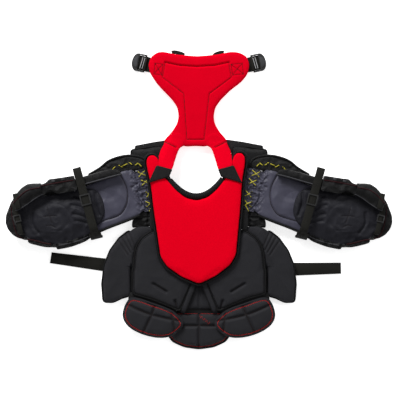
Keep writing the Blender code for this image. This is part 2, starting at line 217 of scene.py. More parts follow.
def knit(name, rgb, pitch, depth, roughness=0.8, sheen=0.0, contrast=0.16, crease=0.0, shine=0.12):
    """A cloth with a fine basket grain, soft mottling and, if wanted, small creases."""
    finish = Finish(name, roughness, sheen=sheen, shine=shine)
    x, y, z = finish.axes(finish.place())
    turn = 2 * math.pi / pitch
    grain = ((x + z) * turn).sine() * ((y + z) * turn).sine()
    fuzz = finish.noise(0.9 / pitch, 2.0)
    patch = finish.noise(9.0, 4.0)
    tone = patch * 0.6 + fuzz * 0.4
    finish.feed("Base Color", finish.mix(tone, shade(rgb, 1 - contrast * 1.6), shade(rgb, 1 + contrast)))
    finish.feed("Roughness", (patch - 0.5) * 0.18 + roughness)
    height = grain * 0.5 + fuzz * 0.6
    if crease:
        height = height + finish.noise(34.0, 5.0) * crease
    finish.bump(height, depth)
    return finish.material


def woven_strap(name, rgb):
    """Webbing: ribs across the strap and a herringbone along it, on the strap's own map."""
    finish = Finish(name, 0.72, shine=0.12)
    along, across, _ = finish.axes(finish.node("ShaderNodeTexCoord", output="UV"))
    ribs = (along * (2 * math.pi / 0.0022)).sine()
    twill = ((across + along) * (2 * math.pi / 0.0030)).sine()
    fuzz = finish.noise(500.0, 2.0)
    weave = ribs * 0.55 + twill * 0.45
    finish.feed("Base Color", finish.mix(weave * 0.25 + fuzz * 0.5 + 0.2, shade(rgb, 0.65), shade(rgb, 1.5)))
    finish.feed("Roughness", fuzz * 0.2 + 0.62)
    finish.bump(weave + fuzz * 0.4, 0.00025)
    return finish.material


def moulded(name, rgb, roughness=0.48):
    """Moulded plastic with a fine spark-eroded grain and faint handling marks."""
    finish = Finish(name, roughness, shine=0.3)
    grain = finish.noise(900.0, 2.0)
    marks = finish.noise(40.0, 5.0).between(0.55, 0.75)
    finish.feed("Base Color", finish.mix(marks, shade(rgb, 1.0), shade(rgb, 1.5)))
    finish.feed("Roughness", marks * 0.18 + roughness)
    finish.bump(grain, 0.00008)
    return finish.material


def twisted(name, rgb, dark, share, pitch):
    """Cord or thread: a fine twist, with dark flecks on a share of it."""
    finish = Finish(name, 0.6, shine=0.2)
    x, y, z = finish.axes(finish.place())
    twist = ((x + y + z) * (2 * math.pi / pitch)).sine()
    fleck = finish.noise(150.0, 2.0).between(1.0 - share, 1.06 - share) if share else twist * 0.0
    shadow = twist * 0.15 + 0.85
    body = finish.mix(shadow, shade(rgb, 0.6), shade(rgb, 1.0))
    finish.feed("Base Color", finish.mix(fleck, body, (*dark, 1.0)))
    finish.feed("Roughness", twist * 0.1 + 0.6)
    finish.bump(twist, 0.0002)
    return finish.material


FINISHES = {}


def make_finishes():
    c = colours()
    FINISHES.update(
        red=knit("red_knit", c.red, 0.0016, 0.00022, 0.85, 0.0, 0.06, shine=0.01),
        # The back's knit is the red knit in a darker colour: painted shade.
        back=knit("red_knit_painted_shade", c.back, 0.0016, 0.00022, 0.85, 0.0, 0.06, shine=0.01),
        charcoal=knit("charcoal_knit", c.charcoal, 0.0017, 0.00030, 0.62, 0.02, 0.22, shine=0.16),
        black=knit("black_shell_cloth", c.black, 0.0013, 0.00022, 0.55, 0.02, 0.25, crease=1.0, shine=0.16),
        slate=knit("slate_lining", c.slate, 0.0012, 0.00010, 0.50, 0.04, 0.14, crease=0.6, shine=0.30),
        dusk=knit("dusk_lining", c.dusk, 0.0012, 0.00012, 0.56, 0.03, 0.20, crease=0.8, shine=0.16),
        piping=knit("black_piping", c.black, 0.0010, 0.00025, 0.55, 0.0, 0.20, shine=0.12),
        rim=knit("grey_rim_cloth", c.rim, 0.0010, 0.00025, 0.55, 0.0, 0.20, shine=0.25),
        maroon=knit("maroon_binding", c.maroon, 0.0010, 0.00025, 0.60, 0.0, 0.20, shine=0.12),
        webbing=woven_strap("strap_webbing", c.webbing),
        plastic=moulded("moulded_plastic", c.plastic),
        # Pale grey for the waist buckles' cords: a painted highlight standing in for the glint on the buckle bars.
        grey_bar=moulded("grey_bar_plastic", (0.42, 0.42, 0.43), 0.40),
        grey_end=moulded("grey_end_plastic", (0.030, 0.031, 0.034), 0.60),
        eyelet=Finish("blackened_eyelet", 0.35, metallic=0.9).material,
        lace=twisted("flecked_lace", c.lace, (0.010, 0.010, 0.008), 0.46, 0.0030),
        red_thread=twisted("red_thread", c.thread, (0.05, 0.002, 0.002), 0.0, 0.0014),
        dark_thread=twisted("dark_thread", (0.012, 0.008, 0.008), (0.0, 0.0, 0.0), 0.0, 0.0014),
        wine_thread=twisted("wine_thread", (0.045, 0.001, 0.003), (0.0, 0.0, 0.0), 0.0, 0.0014),
    )
    eyelet = FINISHES["eyelet"].node_tree.nodes["Principled BSDF"]
    eyelet.inputs["Base Color"].default_value = (0.08, 0.08, 0.08, 1.0)


def paint(piece, finish):
    piece.data.materials.clear()
    piece.data.materials.append(FINISHES[finish])
    return piece


# ---------------------------------------------------------------- paths

def outline(node):
    """A node's closed edge in plan, at half its height."""
    low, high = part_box(node)
    level = (low.z + high.z) / 2
    mesh = frame["nodes"][node].data
    links = {}
    for face in mesh.polygons:
        corners = [tuple(mesh.vertices[i].co) for i in face.vertices]
        ends = []
        for pair in zip(corners, corners[1:] + corners[:1]):
            a, b = sorted(pair)
            if (a[2] - level) * (b[2] - level) < 0:
                share = (level - a[2]) / (b[2] - a[2])
                ends.append(tuple(round(a[k] + (b[k] - a[k]) * share, 5) for k in (0, 1)))
        if len(ends) == 2 and ends[0] != ends[1]:
            links.setdefault(ends[0], []).append(ends[1])
            links.setdefault(ends[1], []).append(ends[0])
    start = max(links)
    path, before, here = [start], None, start
    while True:
        ahead = [p for p in links[here] if p != before and p != here]
        if not ahead or ahead[0] == start:
            return path
        before, here = here, ahead[0]
        path.append(here)


def evenly(points, step, closed=False):
    """Points about a step apart along straight runs between the given ones."""
    points = np.array(points, float)
    if closed:
        points = np.vstack([points, points[:1]])
    run = np.concatenate([[0.0], np.cumsum(np.linalg.norm(np.diff(points, axis=0), axis=1))])
    count = max(2, round(run[-1] / step) + 1)
    places = np.linspace(0.0, run[-1], count)
    made = np.column_stack([np.interp(places, run, points[:, k]) for k in range(points.shape[1])])
    return made[:-1] if closed else made


def rounded(points, step=0.004, rounds=5, closed=True):
    """A path with its corners worn round."""
    path = evenly(points, step, closed)
    for _ in range(rounds):
        before, after = np.roll(path, 1, axis=0), np.roll(path, -1, axis=0)
        worn = (before + 2 * path + after) / 4
        if not closed:
            worn[0], worn[-1] = path[0], path[-1]
        path = worn
    return path


def signed_area(path):
    x, y = path[:, 0], path[:, 1]
    return (x * np.roll(y, -1) - np.roll(x, -1) * y).sum() / 2


def inset(path, distance):
    """A closed path moved inwards."""
    path = np.array(path, float)
    ahead = np.roll(path, -1, axis=0) - np.roll(path, 1, axis=0)
    ahead /= np.linalg.norm(ahead, axis=1)[:, None] + 1e-12
    inward = np.column_stack([-ahead[:, 1], ahead[:, 0]]) * (1 if signed_area(path) > 0 else -1)
    return path + inward * distance


def recut(path, arc):
    """A closed path with the shorter run between an arc's two ends replaced by the arc."""
    path, arc = np.array(path, float), np.array(arc, float)[:, :2]
    path = np.roll(path, -int(np.argmin(np.linalg.norm(path - arc[0], axis=1))), axis=0)
    last = int(np.argmin(np.linalg.norm(path - arc[-1], axis=1)))
    if last < len(path) - last:
        return np.vstack([arc, path[last + 1:]])
    return np.vstack([path[:last], arc[::-1][:-1]])


def spline(points, step=0.003, closed=False):
    """A smooth curve through a few points."""
    points = [Vector(p) for p in points]
    count = len(points)
    fine = []
    for i in range(count if closed else count - 1):
        near = [points[(i + k) % count] if closed else points[min(max(i + k, 0), count - 1)] for k in (-1, 0, 1, 2)]
        p0, p1, p2, p3 = near
        for t in (k / 10 for k in range(10)):
            fine.append((2 * p1 + (p2 - p0) * t + (2 * p0 - 5 * p1 + 4 * p2 - p3) * t * t
                         + (3 * p1 - p0 - 3 * p2 + p3) * t ** 3) / 2)
    if not closed:
        fine.append(points[-1])
    return evenly(fine, step, closed)


# ---------------------------------------------------------------- the arm's own frame

class Arm:
    """Turns a place on the right arm, (u, v) or (u, v, z), into the row's frame."""
    pivot = Vector(JOINTS["right_arm_swing"]["pos_m"])
    across = -Vector(JOINTS["right_shoulder_fold"]["axis"]).normalized()
    along = across.cross(UP)

    @classmethod
    def at(cls, u, v, z=None):
        place = cls.pivot + cls.along * u + cls.across * v
        return (place.x, place.y) if z is None else (place.x, place.y, z)

    @classmethod
    def path(cls, points):
        return [cls.at(*point) for point in points]


SHOULDER_BEND = Arm.at(0.020, 0, 0.0355), Arm.at(0.046, 0, 0.0355)


# ---------------------------------------------------------------- modelling

def pick(*objects):
    """Selects these objects and nothing else, the first one active."""
    if bpy.context.object and bpy.context.object.mode != "OBJECT":
        bpy.ops.object.mode_set(mode="OBJECT")
    bpy.ops.object.select_all(action="DESELECT")
    for obj in objects:
        obj.select_set(True)
    bpy.context.view_layer.objects.active = objects[0]


def link(name, mesh):
    piece = bpy.data.objects.new(name, mesh)
    bpy.context.scene.collection.objects.link(piece)
    return piece


def settle(piece, kind, **settings):
    """Adds a modifier and applies it."""
    modifier = piece.modifiers.new(kind.lower(), kind)
    for key, value in settings.items():
        setattr(modifier, key, value)
    pick(piece)
    bpy.ops.object.modifier_apply(modifier=modifier.name)


def tidy_faces(piece, merge=0.00005):
    """Merges doubles and turns every face outwards."""
    pick(piece)
    bpy.ops.object.mode_set(mode="EDIT")
    bpy.ops.mesh.select_all(action="SELECT")
    bpy.ops.mesh.remove_doubles(threshold=merge)
    bpy.ops.mesh.normals_make_consistent(inside=False)
    bpy.ops.object.mode_set(mode="OBJECT")


def coordinates(piece):
    flat = np.empty(len(piece.data.vertices) * 3)
    piece.data.vertices.foreach_get("co", flat)
    return flat.reshape(-1, 3)


def set_coordinates(piece, places):
    piece.data.vertices.foreach_set("co", np.asarray(places, float).ravel())
    piece.data.update()


def normals(piece):
    flat = np.empty(len(piece.data.vertices) * 3)
    piece.data.vertices.foreach_get("normal", flat)
    return flat.reshape(-1, 3)


def slab(name, path, low, high, rim=0.003):
    """A flat form: a face on the path, extruded up, with its rims bevelled round."""
    mesh = bpy.data.meshes.new(name)
    mesh.from_pydata(raised(path, low), [], [tuple(range(len(path)))])
    piece = link(name, mesh)
    pick(piece)
    bpy.ops.object.mode_set(mode="EDIT")
    bpy.ops.mesh.select_all(action="SELECT")
    bpy.ops.mesh.extrude_region_move(TRANSFORM_OT_translate={"value": (0, 0, high - low)})
    bpy.ops.mesh.select_all(action="SELECT")
    bpy.ops.mesh.normals_make_consistent(inside=False)
    bpy.ops.object.mode_set(mode="OBJECT")
    if rim:
        settle(piece, "BEVEL", width=rim, segments=2, limit_method="ANGLE", angle_limit=math.radians(50))
    return piece


def crisp(piece):
    """Smooth shading that leaves the sharp edges sharp."""
    pick(piece)
    bpy.ops.object.shade_smooth_by_angle(angle=math.radians(40))
    return piece


def joined(name, *pieces):
    pick(*pieces)
    bpy.ops.object.join()
    pieces[0].name = name
    pieces[0].data.name = name
    return pieces[0]


def swell(piece, voxel=None, cap=0.003, pressure=4.0, fine=True, lowest=0.0002):
    """Stuffs a closed form: an even mesh, blown up as cloth by no more than cap, then smoothed."""
    pick(piece)
    piece.data.remesh_voxel_size = voxel or sizes().voxel
    bpy.ops.object.voxel_remesh()
    settle(piece, "SMOOTH", factor=0.5, iterations=3)
    start = coordinates(piece)
    cloth = piece.modifiers.new("stuffing", "CLOTH")
    cloth.settings.quality = 3
    cloth.settings.use_pressure = True
    cloth.settings.uniform_pressure_force = pressure
    cloth.settings.effector_weights.gravity = 0
    cloth.point_cache.frame_end = 20
    for step in range(1, 21):
        bpy.context.scene.frame_set(step)
    bpy.ops.object.modifier_apply(modifier=cloth.name)
    bpy.context.scene.frame_set(1)
    move = coordinates(piece) - start
    far = np.linalg.norm(move, axis=1)[:, None] + 1e-9
    places = start + move * np.minimum(1.0, cap / far)
    places[:, 2] = np.maximum(places[:, 2], lowest)
    set_coordinates(piece, places)
    settle(piece, "SMOOTH", factor=0.4, iterations=2)
    if fine:
        settle(piece, "SUBSURF", levels=1, render_levels=1)
    piece.data.shade_smooth()
    return piece


def raised(path, height):
    """A path in plan, at one height."""
    return [(x, y, height) for x, y in path]


def smoothstep(values):
    values = np.clip(values, 0.0, 1.0)
    return values * values * (3 - 2 * values)


def press(piece, paths, depth=None, width=None, face=1):
    """Pulls a pad's upper face down, or its lower face up, along sewn lines drawn in plan."""
    depth, width = depth or sizes().seam_depth, width or sizes().seam_width
    points = np.vstack([evenly(np.array(path)[:, :2], 0.0015) for path in paths])
    tree = KDTree(len(points))
    for i, (x, y) in enumerate(points):
        tree.insert((x, y, 0.0), i)
    tree.balance()
    places, facing = coordinates(piece), normals(piece)[:, 2] * face
    for i in np.nonzero(facing > 0.2)[0]:
        away = tree.find((places[i, 0], places[i, 1], 0.0))[2]
        if away < width:
            fall = 1 - away / width
            places[i, 2] -= face * depth * fall ** 1.6 * facing[i]
    set_coordinates(piece, places)


def crumple(piece, depth, scale, within=None, seed=0.0):
    """Soft ridged wrinkles on a pad's upper face, stronger where within(place) is near 1."""
    places, facing = coordinates(piece), normals(piece)[:, 2]
    for i in np.nonzero(facing > 0.1)[0]:
        share = within(places[i]) if within else 1.0
        if share > 0:
            spot = Vector((places[i, 0] * scale, places[i, 1] * scale, seed))
            ridge = 1 - abs(noise.noise(spot) + 0.5 * noise.noise(spot * 2.1))
            places[i, 2] -= depth * share * facing[i] * (1.0 - ridge) * 1.6
    set_coordinates(piece, places)


def cushion(piece, centre, radii, height):
    """Raises an oval of an arm lining's upper face, or sinks it if height is negative. Centre and radii are in (u, v)."""
    places, facing = coordinates(piece), normals(piece)[:, 2]
    away = places - np.array(Arm.pivot)
    u, v = away @ np.array(Arm.along), away @ np.array(Arm.across)
    reach = np.sqrt(((u - centre[0]) / radii[0]) ** 2 + ((v - centre[1]) / radii[1]) ** 2)
    places[:, 2] += height * smoothstep((1.0 - reach) / 0.55) * (facing > 0.2) * facing
    set_coordinates(piece, places)


def drape(path, piece, lift=0.0):
    """A path in plan laid on a piece's upper face, lifted off it a little."""
    tree = BVHTree.FromObject(piece, bpy.context.evaluated_depsgraph_get())
    made = []
    for point in path:
        hit = tree.ray_cast(Vector((point[0], point[1], 0.2)), -UP)[0]
        if hit:
            made.append((hit.x, hit.y, hit.z + lift))
    return np.array(made)


def tube(name, path, radius, finish, closed=False, sides=3):
    """A round cord or piping along a path."""
    curve = bpy.data.curves.new(name, "CURVE")
    curve.dimensions = "3D"
    curve.bevel_depth = radius
    curve.bevel_resolution = sides
    curve.use_fill_caps = True
    run = curve.splines.new("POLY")
    run.points.add(len(path) - 1)
    for point, place in zip(run.points, path):
        point.co = (*place, 1.0)
    run.use_cyclic_u = closed
    piece = link(name, curve)
    pick(piece)
    bpy.ops.object.convert(target="MESH")
    piece = bpy.context.view_layer.objects.active
    piece.name = name
    tidy_faces(piece)
    piece.data.shade_smooth()
    return paint(piece, finish)


def stitches(name, path, finish, closed=False, pitch=None, radius=None):
    """Separate stitches along a draped path."""
    s = sizes()
    pitch, radius = pitch or s.stitch * 1.35, radius or s.thread
    points = evenly(path, pitch, closed)
    bpy.ops.object.select_all(action="DESELECT")
    bpy.ops.mesh.primitive_uv_sphere_add(segments=6, ring_count=4, radius=1.0)
    model = bpy.context.object
    shape = coordinates(model) * (s.stitch / 2, radius, radius)
    faces = [tuple(face.vertices) for face in model.data.polygons]
    bpy.data.objects.remove(model)
    places, all_faces = [], []
    for i, point in enumerate(points):
        ahead = Vector(points[(i + 1) % len(points)] - point) if i + 1 < len(points) or closed else ahead
        turn = ahead.to_track_quat("X", "Z").to_matrix()
        start = len(places)
        places += [tuple(turn @ Vector(spot) + Vector(point)) for spot in shape]
        all_faces += [tuple(start + k for k in face) for face in faces]
    mesh = bpy.data.meshes.new(name)
    mesh.from_pydata(places, [], all_faces)
    piece = link(name, mesh)
    piece.data.shade_smooth()
    return paint(piece, finish)


def webbing(name, path, across, width, finish="webbing", thickness=None):
    """Flat webbing swept along a path, with rounded edges, capped ends and its own map in metres."""
    thick = (thickness or sizes().webbing) / 2
    path = [Vector(p) for p in path]
    across = Vector(across).normalized()
    half = width / 2
    edge = min(0.0009, half / 3)
    section = [(-half, -thick * 0.5), (-half, thick * 0.5), (-half + edge, thick), (0, thick * 1.15),
               (half - edge, thick),
               (half, thick * 0.5), (half, -thick * 0.5), (half - edge, -thick), (0, -thick), (-half + edge, -thick)]
    places, faces = [], []
    runs, run = [], 0.0
    for i, point in enumerate(path):
        ahead = (path[min(i + 1, len(path) - 1)] - path[max(i - 1, 0)]).normalized()
        side = (across - ahead * across.dot(ahead)).normalized()
        face = side.cross(ahead)
        if i:
            run += (point - path[i - 1]).length
            if face.dot(last) < 0:
                face = -face
        elif face.z < 0:
            face = -face
        last = face
        runs.append(run)
        places += [tuple(point + side * a + face * b) for a, b in section]
    count = len(section)
    for i in range(len(path) - 1):
        for k in range(count):
            a, b = i * count + k, i * count + (k + 1) % count
            faces.append((a, b, b + count, a + count))
    faces += [tuple(range(count)), tuple(range(len(places) - count, len(places)))]
    mesh = bpy.data.meshes.new(name)
    mesh.from_pydata(places, [], faces)
    layer = mesh.uv_layers.new(name="UVMap")
    for loop in mesh.loops:
        i, k = divmod(loop.vertex_index, count)
        layer.data[loop.index].uv = (runs[i], section[k][0])
    piece = link(name, mesh)
    tidy_faces(piece, 0.000001)
    piece.data.shade_smooth()
    return paint(piece, finish)


def refined(name, node, width=0.0006, segments=2, finish="plastic"):
    """A moulded piece: the node's own form with its edges rounded."""
    piece = link(name, frame["nodes"][node].data.copy())
    pick(piece)
    bpy.ops.object.mode_set(mode="EDIT")
    bpy.ops.mesh.select_all(action="SELECT")
    bpy.ops.mesh.remove_doubles(threshold=0.00002)
    bpy.ops.mesh.dissolve_limited(angle_limit=math.radians(1))
    bpy.ops.object.mode_set(mode="OBJECT")
    settle(piece, "BEVEL", width=width, segments=segments, limit_method="ANGLE", angle_limit=math.radians(30))
    tidy_faces(piece, 0.00001)
    return paint(crisp(piece), finish)


def drift(piece, turn=0.0, slide=None):
    """Settles a piece off the centre line, as it lies: a small turn about the origin or a slide by place."""
    places = coordinates(piece)
    if turn:
        cosine, sine = math.cos(turn), math.sin(turn)
        places[:, :2] = places[:, :2] @ np.array([[cosine, sine], [-sine, cosine]])
    if slide:
        places[:, 0] += slide(places)
    set_coordinates(piece, places)
    return piece


def yoke_slide(places):
    """The yoke and the middle of the back lie a little to the left of centre."""
    shift = -0.0125 + 0.0060 * smoothstep((places[:, 1] - 0.22) / 0.36)
    return shift * (1 - smoothstep((np.abs(places[:, 0]) - 0.11) / 0.05) * (places[:, 1] > 0.45))


def mirrored(piece, name):
    """The left-hand copy of a right-hand piece, with its own mesh."""
    copy = link(name, piece.data.copy())
    copy.data.transform(Matrix.Scale(-1, 4, (1, 0, 0)))
    copy.data.flip_normals()
    return copy


def fit(piece, body, nodes=()):
    """Hangs a piece on its body, in place of its CAD nodes."""
    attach(piece, body)
    if nodes:
        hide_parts(*nodes)


def fit_pair(piece, body, nodes=()):
    """Hangs a right-hand piece and its mirror image. A body named with {} is one on each side."""
    twin = mirrored(piece, piece.name.replace("right_", "left_", 1))
    for made, side in ((piece, "right"), (twin, "left")):
        fit(made, body.format(side), [f"{side}_{node}" for node in nodes])
    return piece, twin


def fit_pairs(pieces, body, nodes=()):
    for piece in pieces:
        fit_pair(piece, body, nodes)


def fit_between(piece, start, end, nodes=()):
    """Makes the mirror image of a right-hand piece, hides the CAD nodes of each side and bakes both in place, hung on
    no body.
    """
    twin = mirrored(piece, piece.name.replace("right_", "left_", 1))
    for made, side, sign in ((piece, "right", 1), (twin, "left", -1)):
        if nodes:
            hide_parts(*[f"{side}_{node}" for node in nodes])
        sign * start[0]
        sign * end[0]
        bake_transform(made)
    return piece, twin


def pad_on(node, name=None, margin=0.0015, trim=0.0015, rounds=5, cap=0.0028, finish="black",
           voxel=None, fine=True, rim=0.003):
    """A stuffed pad in the room of a CAD slab."""
    low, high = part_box(node)
    path = inset(rounded(outline(node), rounds=rounds), margin)
    piece = slab(name or node + "_pad", path, low.z + trim, high.z - trim, rim)
    return paint(swell(piece, voxel, cap, fine=fine, lowest=max(low.z, 0.0002)), finish)


# ---------------------------------------------------------------- pieces

BELLY_ARC = [(0.1430, 0.0200), (0.1660, 0.0110), (0.1940, -0.0100), (0.2120, -0.0400), (0.2190, -0.0780),
             (0.2215, -0.1120)]


class PieceOperator:
    bl_options = {"REGISTER", "UNDO"}


class PROTECTOR_OT_chest(PieceOperator, bpy.types.Operator):
    """Red chest liner with its piping and the ribbed collar"""
    bl_idname = "protector.chest"
    bl_label = "Chest liner and collar"

    def execute(self, context):
        turn, slide = math.radians(1.5), lambda places: -0.0040
        ear = spline([(0.1250, 0.205), (0.1235, 0.235), (0.1300, 0.262), (0.1440, 0.273), (0.1600, 0.269),
                      (0.1680, 0.252),
                      (0.1650, 0.225), (0.1580, 0.190), (0.1530, 0.150)], 0.002)
        shape = inset(rounded(outline("chest_liner"), rounds=4), -0.0015)
        shape = recut(shape, ear)
        shape = recut(shape, [(-x, y) for x, y in ear[:, :2]])
        shape = rounded(shape, 0.003, 2)
        neck = (np.abs(shape[:, 0]) < 0.096) & (shape[:, 1] > 0.09)
        shape[:, 1] -= 0.0075 * neck * (1 - (shape[:, 0] / 0.096) ** 2)
        low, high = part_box("chest_liner")
        liner = slab("chest_liner_pad", shape, low.z + 0.0015, high.z - 0.0015)
        paint(swell(liner, cap=0.0028), "red")
        fit(drift(liner, turn, slide), "chest", ["chest_liner"])

        low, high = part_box("chest_board")
        edge = inset(shape, -0.0036)
        board = slab("chest_board_cloth", rounded(inset(shape, -0.0050), 0.003, 1), low.z, high.z, 0.0015)
        crisp(board)
        fit(drift(paint(board, "black"), turn, slide), "chest", ["chest_board"])
        cord = tube("chest_piping", raised(edge, high.z + 0.0022), 0.0044, "piping", closed=True)
        fit(drift(cord, turn, slide), "chest")

        low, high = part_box("collar_pad")
        band = 0.016
        wide, deep = high.x - band / 2 + 0.002, high.y - low.y - band / 2
        middle, radius = (low.z + high.z) / 2, (high.z - low.z) / 2
        arch = [wide * math.cos(math.pi * t / 60) for t in range(61)]
        path = evenly([(x, high.y - (1 - (x / wide) ** 2) * deep, middle) for x in arch], 0.0009)
        collar = tube("collar_roll", path, radius, "piping", sides=5)
        places = coordinates(collar)
        tree = KDTree(len(path))
        for i, point in enumerate(path):
            tree.insert(point, i)
        tree.balance()
        for i, place in enumerate(places):
            centre, index, _ = tree.find(place)
            rib = abs(math.sin(index * 0.0009 * math.pi / 0.0072)) ** 0.6
            deepest = math.exp(-(centre.x / 0.045) ** 2)
            swollen = (place - np.array(centre)) * (1.0 + (0.06 + 0.14 * deepest) * (rib - 0.6))
            places[i] = np.array(centre) + swollen * np.array((1.30, 1.30, 1.0)) - np.array((0.0, 0.0020, 0.0))
        set_coordinates(collar, places)
        fit(drift(collar, turn, slide), "chest", ["collar_pad"])
        return {"FINISHED"}


class PROTECTOR_OT_belly(PieceOperator, bpy.types.Operator):
    """Belly panels with their darts and piping, the gusset between them and the armpit webs"""
    bl_idname = "protector.belly"
    bl_label = "Belly panels"

    def execute(self, context):
        low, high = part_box("right_belly_panel")
        arc = spline(BELLY_ARC)
        shape = rounded(recut(inset(rounded(outline("right_belly_panel"), rounds=4), 0.001), arc), 0.003, 1)
        panel = slab("right_belly_panel_pad", shape, low.z + 0.0015, high.z - 0.0015, 0.004)
        paint(swell(panel, cap=0.0030, lowest=low.z), "charcoal")
        darts = [[(0.1100, -0.1890), (0.1530, -0.1630)], [(0.0800, -0.2200), (0.0720, -0.2500)]]
        press(panel, darts, 0.0100, 0.0085)
        crumple(panel, 0.0015, 14.0)
        cords = [tube("right_belly_piping", raised(inset(shape, 0.0006), high.z - 0.0065), 0.0036, "piping",
                      closed=True),
                 tube("right_belly_welt", drape(inset(shape, 0.0068), panel, 0.0003), 0.0011, "piping", closed=True,
                      sides=1)]
        cords += [tube(f"right_belly_dart_{i}", drape(evenly(dart, 0.003), panel, -0.0004), 0.0016, "dark_thread",
                       sides=1)
                  for i, dart in enumerate(darts)]
        fit_pair(panel, "chest", ["belly_panel"])
        fit_pairs(cords, "chest")

        block_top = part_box("belly_block")[1].z
        half = [(0.0, -0.150), (0.010, -0.153), (0.024, -0.178), (0.056, -0.249), (0.0, -0.249)]
        path = half + [(-x, y) for x, y in reversed(half) if x > 0]
        gusset = slab("belly_gusset", rounded(path, rounds=2), block_top + 0.0015, block_top + 0.0125)
        paint(swell(gusset, 0.004, 0.003, lowest=block_top + 0.0004), "charcoal")
        press(gusset, [[(0.0, -0.150), (0.0, -0.252)]], 0.0045, 0.008)
        fit(gusset, "chest", ())
        line = [(0.0105, -0.1460, 0.0375), (0.0190, -0.1680, 0.0370), (0.0350, -0.2080, 0.0360),
                (0.0500, -0.2460, 0.0340),
                (0.0555, -0.2600, 0.0250), (0.0560, -0.2620, 0.0140)]
        band = webbing("right_gusset_band", spline(line, 0.003), (1, 0.35, 0), 0.0170, "charcoal", 0.0030)
        fit_pair(band, "chest", ())
        for number, across in enumerate((-0.0080, 0.0080)):
            edge = [(x + across, y + across * 0.35, z + 0.0008) for x, y, z in spline(line[:5], 0.003)]
            fit_pair(tube(f"right_gusset_edge_{number}", edge, 0.0016, "piping", sides=2), "chest", ())

        web = [(0.1480, 0.030), (0.180, 0.030), (0.2270, 0.024), (0.2260, 0.048), (0.214, 0.070), (0.200, 0.086),
               (0.1500, 0.088)]
        armpit = slab("right_armpit_web", rounded(web, rounds=2), 0.0100, 0.0285)
        low_part = slab("right_armpit_low", rounded([(0.1535, 0.070), (0.200, 0.070), (0.196, 0.120), (0.1535, 0.125)],
                                                    rounds=2),
                        0.0015, 0.0120)
        armpit = joined("right_armpit_web", armpit, low_part)
        paint(swell(armpit, 0.004, 0.0015), "black")
        press(armpit, [[(0.1500, 0.062), (0.215, 0.058)], [(0.174, 0.030), (0.168, 0.086)],
                       [(0.160, 0.030), (0.157, 0.086)]], 0.0060, 0.007)
        crumple(armpit, 0.006, 34.0, seed=3.0)
        fit_pair(armpit, "chest", ())
        # Black cloth under the chest's edge: partly the black padding there, and the strip of it that shows beside the
        # chest is painted shadow.
        shape = [(0.1350, 0.0215), (0.1480, 0.0190), (0.1600, 0.0190), (0.1660, 0.0330), (0.1640, 0.0850),
                 (0.1320, 0.0850)]
        edge = joined("right_chest_edge_cloth", slab("right_chest_edge_cloth", rounded(shape, 0.002, 1), 0.0298, 0.0390,
                                                     0.002),
                      slab("under_tongue", [(0.1340, 0.0820), (0.1660, 0.0820), (0.1640, 0.1080), (0.1340, 0.1080)],
                           0.0286, 0.0301, 0.0004))
        crisp(edge)
        fit_pair(paint(edge, "black"), "chest")
        return {"FINISHED"}


